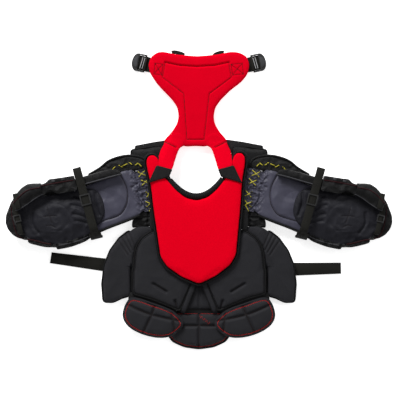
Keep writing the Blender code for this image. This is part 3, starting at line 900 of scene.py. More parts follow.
class PROTECTOR_OT_wings(PieceOperator, bpy.types.Operator):
    """Rib wings with quilted tops, piping and the elastic waist straps"""
    bl_idname = "protector.wings"
    bl_label = "Rib wings"

    def execute(self, context):
        low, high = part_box("right_side_wing")
        shoulder_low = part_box("right_belly_panel")[0].z
        shape = inset(rounded(outline("right_side_wing"), rounds=3), 0.001)
        arc = [(x - 0.0010, y - 0.0006) for x, y in spline(BELLY_ARC)]
        corner = arc[::-1] + [(0.148, 0.0280), (0.172, 0.0330), (0.204, 0.0320), (0.2240, 0.0250), (0.2440, 0.0080),
                              (0.2600, -0.0120),
                              (0.2600, -0.1150)]
        shape[:, 1] -= 0.0095 * smoothstep((-0.180 - shape[:, 1]) / 0.030)
        parts = [slab("wing", shape, low.z + 0.0010, high.z - 0.0015, 0.004),
                 slab("corner", rounded(corner, 0.003, 1), shoulder_low + 0.0008, high.z - 0.0015, 0.003),
                 slab("bridge", [(0.2185, -0.2080), (0.2185, -0.100), (0.2360, -0.100), (0.2360, -0.2240),
                                 (0.2270, -0.2220)], low.z + 0.004, high.z - 0.006, 0.002)]
        wing = joined("right_wing_cover", *parts)
        paint(swell(wing, 0.0045, 0.0030, lowest=low.z), "charcoal")
        places = coordinates(wing)
        lift = smoothstep((0.2560 - places[:, 0]) / 0.0560) * (places[:, 1] > -0.105)
        places[:, 2] += 0.0080 * lift * np.clip((places[:, 2] - shoulder_low) / 0.012, 0, 1)
        set_coordinates(wing, places)
        quilting = []
        for step in range(4):
            share = step / 3
            quilting.append([(0.2700 - 0.0310 * share, -0.0220 + 0.0330 * share),
                             (0.2400 - 0.0260 * share, -0.0660 + 0.0230 * share)])
        press(wing, quilting, 0.0034, 0.0055)
        press(wing, [[(0.2275, -0.100), (0.2275, -0.222)]], 0.0060, 0.0070)
        crumple(wing, 0.0016, 12.0, seed=1.5)
        trims = [tube(f"right_wing_quilting_{i}", drape(evenly(line, 0.003), wing, -0.0003), 0.0007, "dark_thread",
                      sides=1)
                 for i, line in enumerate(quilting)]
        rim = [p for p in inset(shape, 0.0004) if p[0] > 0.2330]
        rim = sorted(rim, key=lambda p: math.atan2(p[1] + 0.10, p[0] - 0.2330))
        cord = tube("right_wing_piping", raised(rim, (low.z + high.z) / 2 + 0.002), 0.0028, "piping")
        joint = Vector(JOINTS["right_wing_fold"]["pos_m"])
        fit_between(wing, joint - Vector((0.008, 0, 0)), joint + Vector((0.008, 0, 0)),
                    ["side_wing"])
        fit_pair(cord, "{}_wing")
        fit_pairs(trims, "{}_wing")
        for side, sign in (("right", 1), ("left", -1)):
            low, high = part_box(f"{side}_waist_strap")
            ends = sorted(outline(f"{side}_waist_strap"), key=lambda p: -sign * p[0])
            (ax, ay), (bx, by) = ends[:2]
            (cx, cy), (dx, dy) = ends[-2:]
            rise = 0.0110 if sign > 0 else 0.0160
            outer, inner = ((ax + bx) / 2, (ay + by) / 2 + rise), ((cx + dx) / 2, (cy + dy) / 2 + 0.0110)
            level = (low.z + high.z) / 2
            path = [(*inner, level)]
            for t in (0.25, 0.5, 0.75, 1.0):
                lift = 0.0012 + 0.0022 * math.sin(t * 5.0) ** 2 if t > 0.3 else 0.0
                path.append((inner[0] + (outer[0] - inner[0]) * t, inner[1] + (outer[1] - inner[1]) * t, level + lift))
            strap = webbing(f"{side}_elastic_strap", spline(path, 0.004), (0, 1, 0), 0.044, thickness=0.0022)
            places = coordinates(strap)
            share = np.clip((places[:, 0] - inner[0]) / (outer[0] - inner[0]), 0, 1)
            middle = inner[1] + (outer[1] - inner[1]) * share
            places[:, 1] = middle + (places[:, 1] - middle) * (1.05 - 0.20 * share)
            set_coordinates(strap, places)
            fit(strap, f"{side}_wing", [f"{side}_waist_strap"])
        return {"FINISHED"}


class PROTECTOR_OT_lower_pads(PieceOperator, bpy.types.Operator):
    """Oval hip pads and the half-round centre pad, with sewn channels and red overlock"""
    bl_idname = "protector.lower_pads"
    bl_label = "Hip and centre pads"

    def execute(self, context):
        pad = pad_on("right_hip_pad", rounds=4, cap=0.0040, finish="charcoal", rim=0.005)
        channels = [spline([(0.2400, -0.2330), (0.1615, -0.2656), (0.0560, -0.2890)]),
                    spline([(0.1470, -0.2350), (0.1588, -0.2669), (0.1870, -0.3270)]),
                    spline([(0.0900, -0.2600), (0.0853, -0.2914), (0.0820, -0.3290)])]
        ring = inset(rounded(outline("right_hip_pad"), rounds=6), 0.0075)
        loop = np.vstack([ring, ring[:1]])
        press(pad, channels, 0.0080, 0.0100)
        press(pad, [loop], 0.0040, 0.0055)
        trims = [stitches("right_hip_overlock", drape(ring, pad, 0.0010), "red_thread", True, 0.0050, 0.0009)]
        inner = inset(ring, 0.0012)
        trims.append(stitches("right_hip_overlock_inner", drape(inner, pad, 0.0008), "red_thread", True, 0.0062,
                              0.0007))
        # Thick dark thread along the channel floors: partly the stitching, partly painted shade in the channels.
        trims += [tube(f"right_hip_channel_{i}", drape(line[2:-2], pad, 0.0), 0.0019, "dark_thread", sides=1)
                  for i, line in enumerate(channels)]
        low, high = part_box("right_hip_pad")
        rim = inset(rounded(outline("right_hip_pad"), rounds=4), 0.0015)
        trims.append(tube("right_hip_piping", raised(rim, (low.z + high.z) / 2), 0.0032, "charcoal", closed=True))
        fit_pair(pad, "{}_hip_pad", ["hip_pad"])
        fit_pairs(trims, "{}_hip_pad")

        pad = pad_on("centre_pad", rounds=5, cap=0.0040, finish="charcoal", rim=0.005)
        low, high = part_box("centre_pad")
        channels = [[(0.0, low.y + 0.006), (0.0, high.y - 0.004)], [(-0.106, -0.306), (0.106, -0.306)]]
        ring = inset(rounded(outline("centre_pad"), rounds=6), 0.0075)
        loop = np.vstack([ring, ring[:1]])
        press(pad, channels, 0.0080, 0.0100)
        press(pad, [loop], 0.0040, 0.0055)
        squiggle = [(0.002 + 0.034 * t / 8, -0.272 - 0.026 * t / 8 + 0.005 * (-1) ** t) for t in range(9)]
        trims = [stitches("centre_overlock", drape(ring, pad, 0.0010), "red_thread", True, 0.0050, 0.0009),
                 stitches("centre_bartack", drape(spline(squiggle, 0.002), pad, 0.0006), "red_thread"),
                 tube("centre_piping", raised(inset(rounded(outline("centre_pad"), rounds=5), 0.0015),
                                              (low.z + high.z) / 2), 0.0032, "piping", closed=True)]
        # Thick dark thread along the channel floors: partly the stitching, partly painted shade in the channels.
        trims += [tube(f"centre_channel_shade_{i}", drape(evenly(line, 0.003), pad, -0.0004), 0.0017, "dark_thread", sides=1)
                  for i, line in enumerate(channels)]
        fit(pad, "centre_pad", ["centre_pad"])
        for trim in trims:
            fit(trim, "centre_pad")

        joint = JOINTS["right_hip_pad_fold"]
        pivot = Vector(joint["pos_m"])
        along = Vector(joint["axis"]).normalized()
        along *= 1 if along.x > 0 else -1
        outward = along.cross(UP)
        outward *= 1 if outward.y < 0 else -1
        shape = [pivot + along * a + outward * b for a, b in ((-0.078, -0.006), (0.000, -0.012), (0.090, -0.014),
                                                              (0.090, 0.016),
                                                              (0.000, 0.026), (-0.084, 0.030))]
        strip = slab("right_hip_hinge", rounded([(p.x, p.y) for p in shape], 0.003, 2), 0.0145, 0.0275, 0.003)
        paint(swell(strip, 0.0035, 0.0010), "black")
        fit_between(strip, pivot - outward * 0.006, pivot + outward * 0.008, ())
        joint = Vector(JOINTS["centre_pad_fold"]["pos_m"])
        strip = slab("centre_hinge", rounded([(-0.070, -0.240), (0.070, -0.240), (0.066, -0.270), (-0.066, -0.270)],
                                             0.003, 2),
                     0.0030, 0.0150, 0.003)
        paint(swell(strip, 0.0035, 0.0010), "black")
        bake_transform(strip)
        return {"FINISHED"}


class PROTECTOR_OT_back(PieceOperator, bpy.types.Operator):
    """Red back panel and yoke straps in one cover, with seams, box stitches, tabs and waist buckles"""
    bl_idname = "protector.back"
    bl_label = "Back panel and yoke"

    def execute(self, context):
        low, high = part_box("back_panel")
        parts = [slab("back_cover", inset(rounded(outline("back_panel"), rounds=5), 0.0002), low.z + 0.002,
                      high.z - 0.002, 0.004)]
        strap_low, strap_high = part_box("right_yoke_strap")
        near, far = strap_low.y, strap_high.y
        rise, fall = strap_high.z - 0.008, strap_low.z
        for sign in (1, -1):
            edge = [(0.0775, near - 0.002), (0.1275, near + 0.012), (0.1250, 0.262), (0.1190, 0.285), (0.1060, 0.312),
                    (0.0920, 0.328),
                    (0.0600, 0.345), (0.0350, 0.330), (0.0350, 0.3000), (0.0500, 0.2950), (0.0570, 0.2830),
                    (0.0660, 0.256)]
            strap = slab("strap", rounded([(sign * x, y) for x, y in edge], rounds=3), 0.0, 0.0080, 0.002)
            places = coordinates(strap)
            share = np.clip((places[:, 1] - near) / (far - near), 0.0, 1.0)
            places[:, 2] += rise + (fall - rise) * share
            set_coordinates(strap, places)
            parts.append(strap)
        cover = joined("back_cover", *parts)
        # The cover takes the darker copy of the red knit: painted shade on the back.
        paint(swell(cover, 0.004, 0.0022), "back")
        half = [(0.0, 0.569), (0.060, 0.573), (0.107, 0.583), (0.116, 0.532), (0.043, 0.477), (0.029, 0.323),
                (0.0, 0.322)]
        frame_seam = half + [(-x, y) for x, y in reversed(half)]
        press(cover, [frame_seam + frame_seam[:1]], 0.0036, 0.0050)
        press(cover, [[(-0.107, 0.583), (-0.060, 0.573), (0.0, 0.569), (0.060, 0.573), (0.107, 0.583)]], 0.0040, 0.0070)
        folds = [[(s * 0.111, 0.3185), (s * 0.066, 0.2960)] for s in (1, -1)]
        press(cover, folds, 0.0060, 0.0080)
        boxes = []
        for s in (1, -1):
            tilt = Matrix.Rotation(math.radians(6 * s), 2)
            corners = [Vector((s * 0.133, 0.560)) + tilt @ Vector(c)
                       for c in ((-0.016, -0.018), (0.016, -0.018), (0.016, 0.018), (-0.016, 0.018))]
            boxes += [[*corners, corners[0]], [corners[0], corners[2]], [corners[1], corners[3]]]
        press(cover, boxes, 0.0018, 0.0040)
        crumple(cover, 0.0009, 10.0, seed=2.0)
        drift(cover, slide=yoke_slide)
        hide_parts("back_panel", "left_yoke_strap", "right_yoke_strap")

        def slid(line):
            line = np.array(raised(line, 0.0))
            line[:, 0] += yoke_slide(line)
            return line[:, :2]

        seam = drape(evenly(slid(frame_seam), 0.003, True), cover, -0.0006)
        fit(tube("back_frame_seam_0", seam, 0.0012, "wine_thread", True, 1), "back", ())
        for number, line in enumerate(boxes):
            trim = stitches(f"back_box_stitch_{number}", drape(evenly(slid(line), 0.003), cover, 0.0005), "wine_thread",
                            radius=0.0011)
            fit(trim, "back", ())
        lines = [drape(evenly(slid(line), 0.003), cover, -0.0006) for line in folds]
        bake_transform(cover)
        for number, line in enumerate(lines):
            trim = tube(f"yoke_fold_seam_{number}", line, 0.0015, "wine_thread", sides=1)
            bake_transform(trim)

        low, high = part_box("right_yoke_tab")
        shape = [(0.0755, 0.2215), (0.0860, 0.1960), (0.1580, 0.1740), (0.1290, 0.2350)]
        tab = slab("right_yoke_tab_cloth", rounded(shape, 0.002, 3), low.z + 0.0002, high.z + 0.0012, 0.0012)
        paint(swell(tab, 0.0022, 0.0006, fine=False, lowest=low.z), "black")
        ring = inset(rounded(shape, 0.002, 3), 0.0040)
        trim = stitches("right_yoke_tab_seam", drape(ring, tab, 0.0003), "dark_thread", True)
        for made in (*fit_pair(tab, "yoke", ["yoke_tab"]),
                     *fit_pair(trim, "yoke", ())):
            drift(made, slide=yoke_slide)

        shell = refined("back_shell_moulding", "back_shell", 0.0009, 3)
        fit(shell, "back", ["back_shell"])
        buckle = refined("right_waist_buckle_moulding", "right_waist_buckle", 0.0008, 3)
        fit_pair(buckle, "{}_waist_buckle", ["waist_buckle"])
        loop = refined("right_buckle_loop", "right_buckle_webbing", 0.0003, 1, "webbing")
        fit_pair(loop, "back", ["buckle_webbing"])
        self.buckle_bars()
        for name, ends in (("right", ((0.050, 0.6105), (0.084, 0.6205))),
                           ("left", ((-0.092, 0.6215), (-0.050, 0.6120)))):
            (ax, ay), (bx, by) = ends
            path = [(ax, ay - 0.004, 0.0160), ((ax * 3 + bx) / 4, (ay * 3 + by) / 4, 0.0150),
                    ((ax + bx * 3) / 4, (ay + by * 3) / 4, 0.0150), (bx, by - 0.004, 0.0160)]
            hanger = webbing(f"{name}_hanger_loop", spline(path, 0.002), (-0.25, 1.0, 0), 0.0130)
            fit(hanger, "back", ())
        return {"FINISHED"}

    def buckle_bars(self):
        """The webbing behind each waist buckle's slots, two pale cords across it that are painted highlights for the
        glint on its bars, and its grey end.
        """
        joint = JOINTS["right_waist_buckle_tilt"]
        pivot = Vector(joint["pos_m"])
        bar = -Vector(joint["axis"]).normalized()
        out = bar.cross(UP)
        low, top = (corner.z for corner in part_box("right_waist_buckle"))
        line = [pivot + out * reach for reach in (0.0010, 0.0090, 0.0170, 0.0252)]
        backing = webbing("right_buckle_backing", [(p.x, p.y, low - 0.0010) for p in line], bar, 0.0500,
                          thickness=0.0014)
        fit_pair(backing, "{}_waist_buckle", ())
        # Two pale cords across the buckle: painted highlight for the glint on its bars.
        for number, (near, far) in enumerate(((0.0046, 0.0076), (0.0118, 0.0148))):
            path = [pivot + out * (near + (far - near) * k / 4) + bar * (0.019 - 0.0095 * k) for k in range(5)]
            cord = tube(f"right_buckle_cord_{number}", spline([(p.x, p.y, top + 0.0010) for p in path], 0.002),
                        0.0010, "grey_bar", sides=2)
            fit_pair(cord, "{}_waist_buckle", ())
        arc = [pivot + out * (0.0265 + 0.0165 * math.sin(a)) + bar * 0.0180 * math.cos(a)
               for a in (math.pi * k / 16 for k in range(17))]
        end = slab("right_buckle_end", rounded([(p.x, p.y) for p in arc], 0.0015, 1), top + 0.0001, top + 0.0022,
                   0.0008)
        crisp(end)
        fit_pair(paint(end, "grey_end"), "{}_waist_buckle", ())


class PROTECTOR_OT_front_blocks(PieceOperator, bpy.types.Operator):
    """Outer blocks of the chest, belly, shoulders and arms, which face the puck"""
    bl_idname = "protector.front_blocks"
    bl_label = "Front blocks"

    def block(self, node, name=None):
        piece = pad_on(node, name, rounds=4, cap=0.0025, voxel=0.006, fine=True)
        ring = inset(rounded(outline(node), rounds=6), 0.0130)
        press(piece, [np.vstack([ring, ring[:1]])], 0.0020, 0.0070, face=-1)
        low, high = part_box(node)
        middle = (low.x + high.x) / 2 if low.x > 0 else 0.0
        press(piece, [[(middle, low.y), (middle, high.y)]], 0.0016, 0.0070, face=-1)
        rim = inset(rounded(outline(node), rounds=4), 0.0012)
        cord = tube(f"{name or node}_edge", raised(rim, (low.z + high.z) / 2), 0.0026, "piping", closed=True, sides=2)
        return piece, cord

    def execute(self, context):
        for node in ("sternum_guard", "belly_block"):
            piece, cord = self.block(node)
            fit(piece, "chest", [node])
            fit(cord, "chest")
        for name, body in (("chest_block", "chest"), ("shoulder_floater", "chest"), ("shoulder_cap", "{}_upper_arm"),
                           ("bicep_block", "{}_upper_arm"), ("forearm_block", "{}_forearm")):
            piece, cord = self.block(f"right_{name}")
            fit_pair(piece, body, [name])
            fit_pair(cord, body)
        apron = [(0.0840, 0.2900), (0.0880, 0.3220), (0.0940, 0.3245), (0.1500, 0.3165), (0.2180, 0.3035),
                 (0.2180, 0.2850),
                 (0.1160, 0.2750)]
        apron = slab("right_shoulder_apron", rounded(apron, 0.003, 2), 0.0008, 0.0054, 0.0012)
        crisp(apron)
        fit_pair(paint(apron, "black"), "chest")
        cap = refined("right_elbow_cap_moulding", "right_elbow_cap", 0.0025, 3)
        fit_pair(cap, "{}_upper_arm", ["elbow_cap"])
        return {"FINISHED"}


class PROTECTOR_OT_arm_liners(PieceOperator, bpy.types.Operator):
    """Slate lining from the lacing to the biceps and dusk lining over the elbow"""
    bl_idname = "protector.arm_liners"
    bl_label = "Arm linings"

    def execute(self, context):
        tongue_low, tongue_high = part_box("right_lace_panel")
        liner_low, liner_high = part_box("right_upper_arm_liner")
        tongue = [(-0.026, -0.062), (0.036, -0.070), (0.036, 0.074), (0.000, 0.078), (-0.026, 0.072)]
        sleeve = [(0.0300, -0.058), (0.0300, 0.060), (0.040, 0.084), (0.072, 0.086), (0.120, 0.080), (0.186, 0.070),
                  (0.240, 0.064), (0.240, -0.100), (0.160, -0.088), (0.100, -0.081), (0.060, -0.075)]
        parts = [slab("tongue", rounded(Arm.path(tongue), rounds=2), tongue_low.z + 0.0004, tongue_high.z + 0.0012,
                      0.001),
                 slab("sleeve", rounded(Arm.path(sleeve), rounds=2), liner_low.z + 0.0010, liner_high.z - 0.0025)]
        piece = joined("right_sleeve_lining", *parts)
        paint(swell(piece, 0.0034, 0.0018, lowest=tongue_low.z), "slate")
        arc = spline(Arm.path([(0.084, 0.074), (0.074, 0.034), (0.077, -0.004), (0.093, -0.036), (0.124, -0.058),
                               (0.190, -0.062)]))
        pinch = [spline(Arm.path([(0.176, 0.040), (0.150, 0.034), (0.128, 0.012), (0.122, -0.012)]))]
        folds = [spline(Arm.path(line)) for line in (
            [(-0.014, 0.034), (0.008, 0.026), (0.030, 0.036)], [(-0.004, -0.008), (0.018, 0.008), (0.042, 0.004)],
            [(0.002, -0.044), (0.022, -0.028), (0.046, -0.036)], [(0.016, 0.060), (0.030, 0.036), (0.056, 0.024)],
            [(0.024, -0.064), (0.042, -0.022), (0.036, 0.012)], [(-0.010, 0.010), (0.012, -0.020), (0.030, -0.016)])]
        cushion(piece, (0.132, 0.000), (0.066, 0.066), 0.0050)
        cushion(piece, (0.140, 0.026), (0.056, 0.036), -0.0035)
        press(piece, [arc], 0.0048, 0.0070)
        press(piece, pinch, 0.0016, 0.0220)
        press(piece, folds, 0.0060, 0.0085)

        def near_lacing(place):
            u = (Vector(place) - Arm.pivot).dot(Arm.along)
            return float(np.clip((0.064 - u) / 0.030, 0.0, 1.0))

        crumple(piece, 0.0110, 36.0, near_lacing)
        crumple(piece, 0.0050, 78.0, near_lacing, 2.0)
        crumple(piece, 0.0022, 16.0, seed=5.0)
        seam = tube("right_sleeve_seam", drape(arc, piece, -0.0004), 0.0014, "dark_thread", sides=1)
        start, end = SHOULDER_BEND
        fit_between(piece, start, end, ["lace_panel"])
        fit_pair(seam, "{}_upper_arm", ())

        rim = [(-0.014, 0.088), (-0.008, 0.106), (0.012, 0.120), (0.045, 0.131), (0.080, 0.133), (0.113, 0.128),
               (0.145, 0.113),
               (0.188, 0.100), (0.188, 0.074), (0.130, 0.074), (0.085, 0.074), (0.045, 0.074), (0.020, 0.074),
               (0.004, 0.072)]
        piece = slab("right_shoulder_rim", rounded(Arm.path(rim), rounds=2), 0.0180, 0.0350, 0.004)
        paint(swell(piece, 0.0034, 0.0020), "black")
        crumple(piece, 0.0040, 30.0, seed=6.0)
        edge = spline(Arm.path(rim[:8]))
        cord = tube("right_shoulder_rim_piping", raised(edge, 0.0325), 0.0040, "piping")
        fit_between(piece, start, end, ())
        fit_between(cord, start, end)

        low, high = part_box("right_forearm_liner")
        shape = [(0.200, 0.058), (0.176, 0.048), (0.163, 0.030), (0.156, 0.000), (0.158, -0.030), (0.168, -0.050),
                 (0.186, -0.070),
                 (0.240, -0.100), (0.300, -0.107), (0.349, -0.106), (0.392, -0.094), (0.425, -0.074), (0.442, -0.056),
                 (0.4605, -0.036), (0.4605, 0.030), (0.450, 0.078), (0.420, 0.089), (0.358, 0.088), (0.349, 0.070),
                 (0.240, 0.066)]
        piece = slab("right_elbow_lining", rounded(Arm.path(shape), rounds=3), low.z + 0.0025, high.z + 0.0045)
        paint(swell(piece, 0.0042, 0.0030, lowest=low.z), "dusk")
        cushion(piece, (0.172, -0.010), (0.080, 0.115), 0.0065)
        cushion(piece, (0.310, -0.018), (0.120, 0.078), 0.0125)
        cushion(piece, (0.345, -0.012), (0.060, 0.046), -0.0016)
        cross = [spline(Arm.path(line)) for line in (
            [(0.346, 0.026), (0.3450, 0.000), (0.342, -0.028)], [(0.3640, -0.0010), (0.345, -0.003), (0.3240, -0.0090)],
            [(0.362, -0.033), (0.350, -0.034), (0.336, -0.045)], [(0.352, -0.052), (0.332, -0.056), (0.316, -0.060)])]
        ring = [Arm.at(0.345 + 0.066 * math.cos(a),
                       -0.012 + 0.050 * math.sin(a)) for a in (2 * math.pi * k / 40 for k in range(41))]
        folds = [spline(Arm.path(line)) for line in (
            [(0.264, 0.014), (0.240, 0.002), (0.216, -0.022)], [(0.266, -0.016), (0.242, -0.028), (0.218, -0.048)],
            [(0.264, -0.040), (0.240, -0.050), (0.220, -0.064)], [(0.250, 0.042), (0.232, 0.030), (0.214, 0.004)],
            [(0.178, 0.034), (0.186, 0.000), (0.184, -0.040)], [(0.400, 0.020), (0.408, -0.015), (0.396, -0.048)])]
        press(piece, cross, 0.0022, 0.0040)
        press(piece, [ring], 0.0009, 0.0070)
        press(piece, folds, 0.0060, 0.0105)
        crumple(piece, 0.0030, 24.0, seed=7.0)
        trims = [tube(f"right_elbow_stitching_{i}", drape(line, piece, -0.0003), 0.0008, "dark_thread", sides=1)
                 for i, line in enumerate(cross[:3])]
        start, end = Arm.at(0.338, 0, 0.040), Arm.at(0.366, 0, 0.040)
        fit_between(piece, start, end, ["upper_arm_liner", "forearm_liner"])
        for trim in trims:
            fit_between(trim, start, end)
        return {"FINISHED"}


class PROTECTOR_OT_arm_shells(PieceOperator, bpy.types.Operator):
    """Padded walls, flaps and cuffs of the arms, with their bindings"""
    bl_idname = "protector.arm_shells"
    bl_label = "Arm walls and flaps"

    def execute(self, context):
        rail = pad_on("right_upper_arm_rail", rounds=4, cap=0.0030, rim=0.006)
        crumple(rail, 0.0040, 26.0, seed=9.0)
        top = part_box("right_upper_arm_rail")[1].z
        edge = spline(Arm.path([(0.076, 0.0745), (0.120, 0.0740), (0.240, 0.0700)]))
        bindings = [tube("right_rail_binding", raised(edge, top - 0.0065), 0.0026, "rim", sides=2)]
        fit_pair(rail, "{}_upper_arm", ["upper_arm_rail"])

        hem = spline(Arm.path([(0.230, 0.0575), (0.262, 0.0580), (0.292, 0.0600), (0.305, 0.0650), (0.3150, 0.0780)]))
        shape = [tuple(p) for p in hem] + Arm.path([(0.3540, 0.068), (0.3545, 0.106), (0.3275, 0.108), (0.316, 0.117),
                                                    (0.290, 0.114), (0.230, 0.108)])
        lay = slab("right_rail_flap", rounded(shape, 0.003, 1), top - 0.0030, top + 0.0050, 0.0015)
        paint(swell(lay, 0.0034, 0.0014, lowest=top - 0.004), "black")
        crumple(lay, 0.0050, 26.0, seed=4.0)
        bindings.append(tube("right_rail_flap_edge", drape(hem[1:-1], lay, 0.0002), 0.0018, "rim", sides=2))
        line = spline(Arm.path([(0.236, 0.0930), (0.285, 0.0970), (0.345, 0.1000)]))
        bindings.append(tube("right_rail_flap_binding", drape(line, lay, 0.0004), 0.0022, "maroon", sides=2))
        fit_pair(lay, "{}_upper_arm", ())
        tabs = [webbing(f"right_rail_tab_{i}", drape(Arm.path([(u, v), (u + 0.006, v), (u + 0.012, v)]), lay, 0.0014),
                        Arm.across,
                        0.0075, "grey_end", 0.0024) for i, (u, v) in enumerate(((0.262, 0.1045), (0.296, 0.1060)))]
        fit_pair(joined("right_rail_tabs", *tabs), "{}_upper_arm", ())

        edge = spline(Arm.path([(0.052, -0.0735), (0.100, -0.0810), (0.160, -0.0880), (0.210, -0.0960)]))
        bindings.append(tube("right_sleeve_binding", raised(edge, 0.0385), 0.0044, "piping"))
        hem = [(0.196, -0.084), (0.214, -0.100), (0.250, -0.115), (0.300, -0.121), (0.351, -0.119), (0.351, -0.096),
               (0.300, -0.097), (0.240, -0.092)]
        piece = slab("right_sleeve_hem", rounded(Arm.path(hem), rounds=2), 0.0305, 0.0480, 0.003)
        paint(swell(piece, 0.0034, 0.0020), "black")
        crumple(piece, 0.0100, 34.0, seed=8.0)
        edge = spline(Arm.path([(0.238, -0.1010), (0.262, -0.1060), (0.300, -0.1075), (0.340, -0.1060)]))
        bindings.append(tube("right_sleeve_hem_edge", drape(edge, piece, 0.0002), 0.0017, "rim", sides=2))
        fit_pair(piece, "{}_upper_arm", ())
        fit_pairs(bindings, "{}_upper_arm")

        wall = pad_on("right_forearm_wall", rounds=3, cap=0.0030, rim=0.005)
        crumple(wall, 0.0070, 34.0, seed=11.0)
        fit_pair(wall, "{}_forearm", ["forearm_wall"])
        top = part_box("right_forearm_wall")[1].z
        edge = spline(Arm.path([(0.361, -0.0960), (0.384, -0.0860), (0.412, -0.0700), (0.435, -0.0610)]))
        bindings = [tube("right_wall_binding", raised(edge, top - 0.0040), 0.0022, "maroon", sides=2)]
        low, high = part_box("right_wrist_cuff")
        shape = [(0.444, -0.058), (0.464, -0.052), (0.482, -0.036), (0.494, -0.012), (0.496, 0.010), (0.489, 0.034),
                 (0.472, 0.058), (0.458, 0.078), (0.446, 0.083)]
        cuff = slab("right_cuff_cloth", rounded(Arm.path(shape), rounds=2), low.z + 0.002, high.z - 0.002, 0.005)
        paint(swell(cuff, 0.0036, 0.0028, lowest=low.z), "black")
        crumple(cuff, 0.0050, 30.0, seed=12.0)
        fit_pair(cuff, "{}_forearm", ["wrist_cuff"])
        edge = spline(Arm.path([(0.449, -0.0560), (0.4660, -0.0380), (0.4690, 0.0000), (0.4660, 0.0400),
                                (0.4560, 0.0740)]))
        bindings.append(tube("right_cuff_binding", raised(edge, high.z - 0.0010), 0.0020, "maroon", sides=2))
        fit_pairs(bindings, "{}_forearm")

        stations = np.array([0.352, 0.372, 0.390, 0.410, 0.425, 0.438, 0.447])
        hinge_edge = np.array([0.1060, 0.1110, 0.1130, 0.1060, 0.0960, 0.0850, 0.0760])
        free_edge = np.array([0.0720, 0.0660, 0.0590, 0.0510, 0.0455, 0.0420, 0.0410])
        steps, row = 26, 15
        places = []
        for i in range(steps + 1):
            u = 0.3465 + 0.1005 * i / steps
            outer, inner = np.interp(u, stations, hinge_edge), np.interp(u, stations, free_edge)
            for k in range(row):
                rise, span = min(1.0, k / 4), max(0.0, (k - 4) / (row - 5))
                v = outer + 0.0030 * math.sin(math.pi * rise) + (inner - outer) * span
                z = 0.0470 + 0.0310 * rise + 0.0070 * math.sin(math.pi * min(1.0, span * 1.15)) - 0.0040 * span ** 2
                spot = Vector((u * 34.0, v * 34.0, 2.7))
                z += 0.0055 * (abs(noise.noise(spot)) - 0.15) * min(1.0, k / 5)
                places.append(Arm.at(u, v, z))
        faces = [(i * row + k, i * row + k + 1, (i + 1) * row + k + 1, (i + 1) * row + k)
                 for i in range(steps) for k in range(row - 1)]
        mesh = bpy.data.meshes.new("right_forearm_flap_cloth")
        mesh.from_pydata(places, [], faces)
        flap = link("right_forearm_flap_cloth", mesh)
        tidy_faces(flap)
        settle(flap, "SOLIDIFY", thickness=0.0045, offset=0.0)
        settle(flap, "SUBSURF", levels=2, render_levels=2)
        flap.data.shade_smooth()
        trims = [tube("right_flap_edge", spline([places[i * row + row - 1] for i in range(0, steps + 1, 2)]), 0.0021,
                      "rim", sides=2)]
        line = [Vector(places[i * row + 7]) + UP * 0.0030 for i in range(0, steps + 1, 2)]
        trims.append(tube("right_flap_binding", spline([tuple(p) for p in line]), 0.0020, "maroon", sides=2))
        fit_pair(paint(flap, "black"), "{}_flap", ["forearm_flap"])
        fit_pairs(trims, "{}_flap")
        return {"FINISHED"}


class PROTECTOR_OT_arm_straps(PieceOperator, bpy.types.Operator):
    """Bicep and wrist straps with their sliding buckles"""
    bl_idname = "protector.arm_straps"
    bl_label = "Arm straps"

    def strap(self, name, u, section, width, slant=0.0):
        path = spline([Arm.at(u + slant * v, v, z) for v, z in section], 0.003)
        return webbing(name, path, Arm.along, width)

    def execute(self, context):
        u = 0.2125
        level = Vector(JOINTS["right_bicep_buckle_slide"]["pos_m"]).z
        strap = self.strap("right_bicep_webbing", u, [
            (0.130, level - 0.0030), (0.112, level + 0.0003), (0.085, level), (0.040, level), (-0.020, level),
            (-0.066, level),
            (-0.084, level - 0.0040), (-0.096, level - 0.0150), (-0.102, level - 0.0300), (-0.1040, level - 0.0440)],
            0.0275, 0.03)
        keeper = self.strap("right_bicep_keeper", u - 0.001, [
            (-0.0930, level - 0.0120), (-0.1040, level - 0.0240), (-0.1110, level - 0.0360), (-0.1150, level - 0.0460),
            (-0.1080, level - 0.0500)], 0.040)
        fit_pair(strap, "{}_upper_arm", ["bicep_strap"])
        fit_pair(keeper, "{}_upper_arm", ())
        seams = [stitches(f"right_bicep_bartack_{i}", [Arm.at(u + d, v, level + 0.0013) for d in (-0.010, 0.010)],
                          "dark_thread")
                 for i, v in enumerate((0.066, 0.072, -0.040))]
        fit_pairs(seams, "{}_upper_arm", ())
        buckle = refined("right_bicep_buckle_moulding", "right_bicep_buckle", 0.0008, 3)
        fit_pair(buckle, "{}_bicep_buckle", ["bicep_buckle"])

        u = 0.449
        level = Vector(JOINTS["right_wrist_buckle_slide"]["pos_m"]).z
        strap = self.strap("right_wrist_webbing", u, [
            (0.068, 0.0440), (0.0690, 0.0540), (0.0640, level - 0.0030), (0.050, level), (0.010, level),
            (-0.024, level),
            (-0.0370, level - 0.0040), (-0.0405, level - 0.0140), (-0.0400, 0.0440)], 0.016)
        fit_pair(strap, "{}_forearm", ["wrist_strap"])
        tail = self.strap("right_wrist_tail", 0.4370, [(0.0440, 0.0835), (0.0560, 0.0865), (0.0700, 0.0870),
                                                       (0.0820, 0.0855),
                                                       (0.0960, 0.0835)], 0.018, -0.04)
        fit_pair(tail, "{}_flap", ())
        buckle = refined("right_wrist_buckle_moulding", "right_wrist_buckle", 0.0008, 3)
        fit_pair(buckle, "{}_wrist_buckle", ["wrist_buckle"])
        return {"FINISHED"}


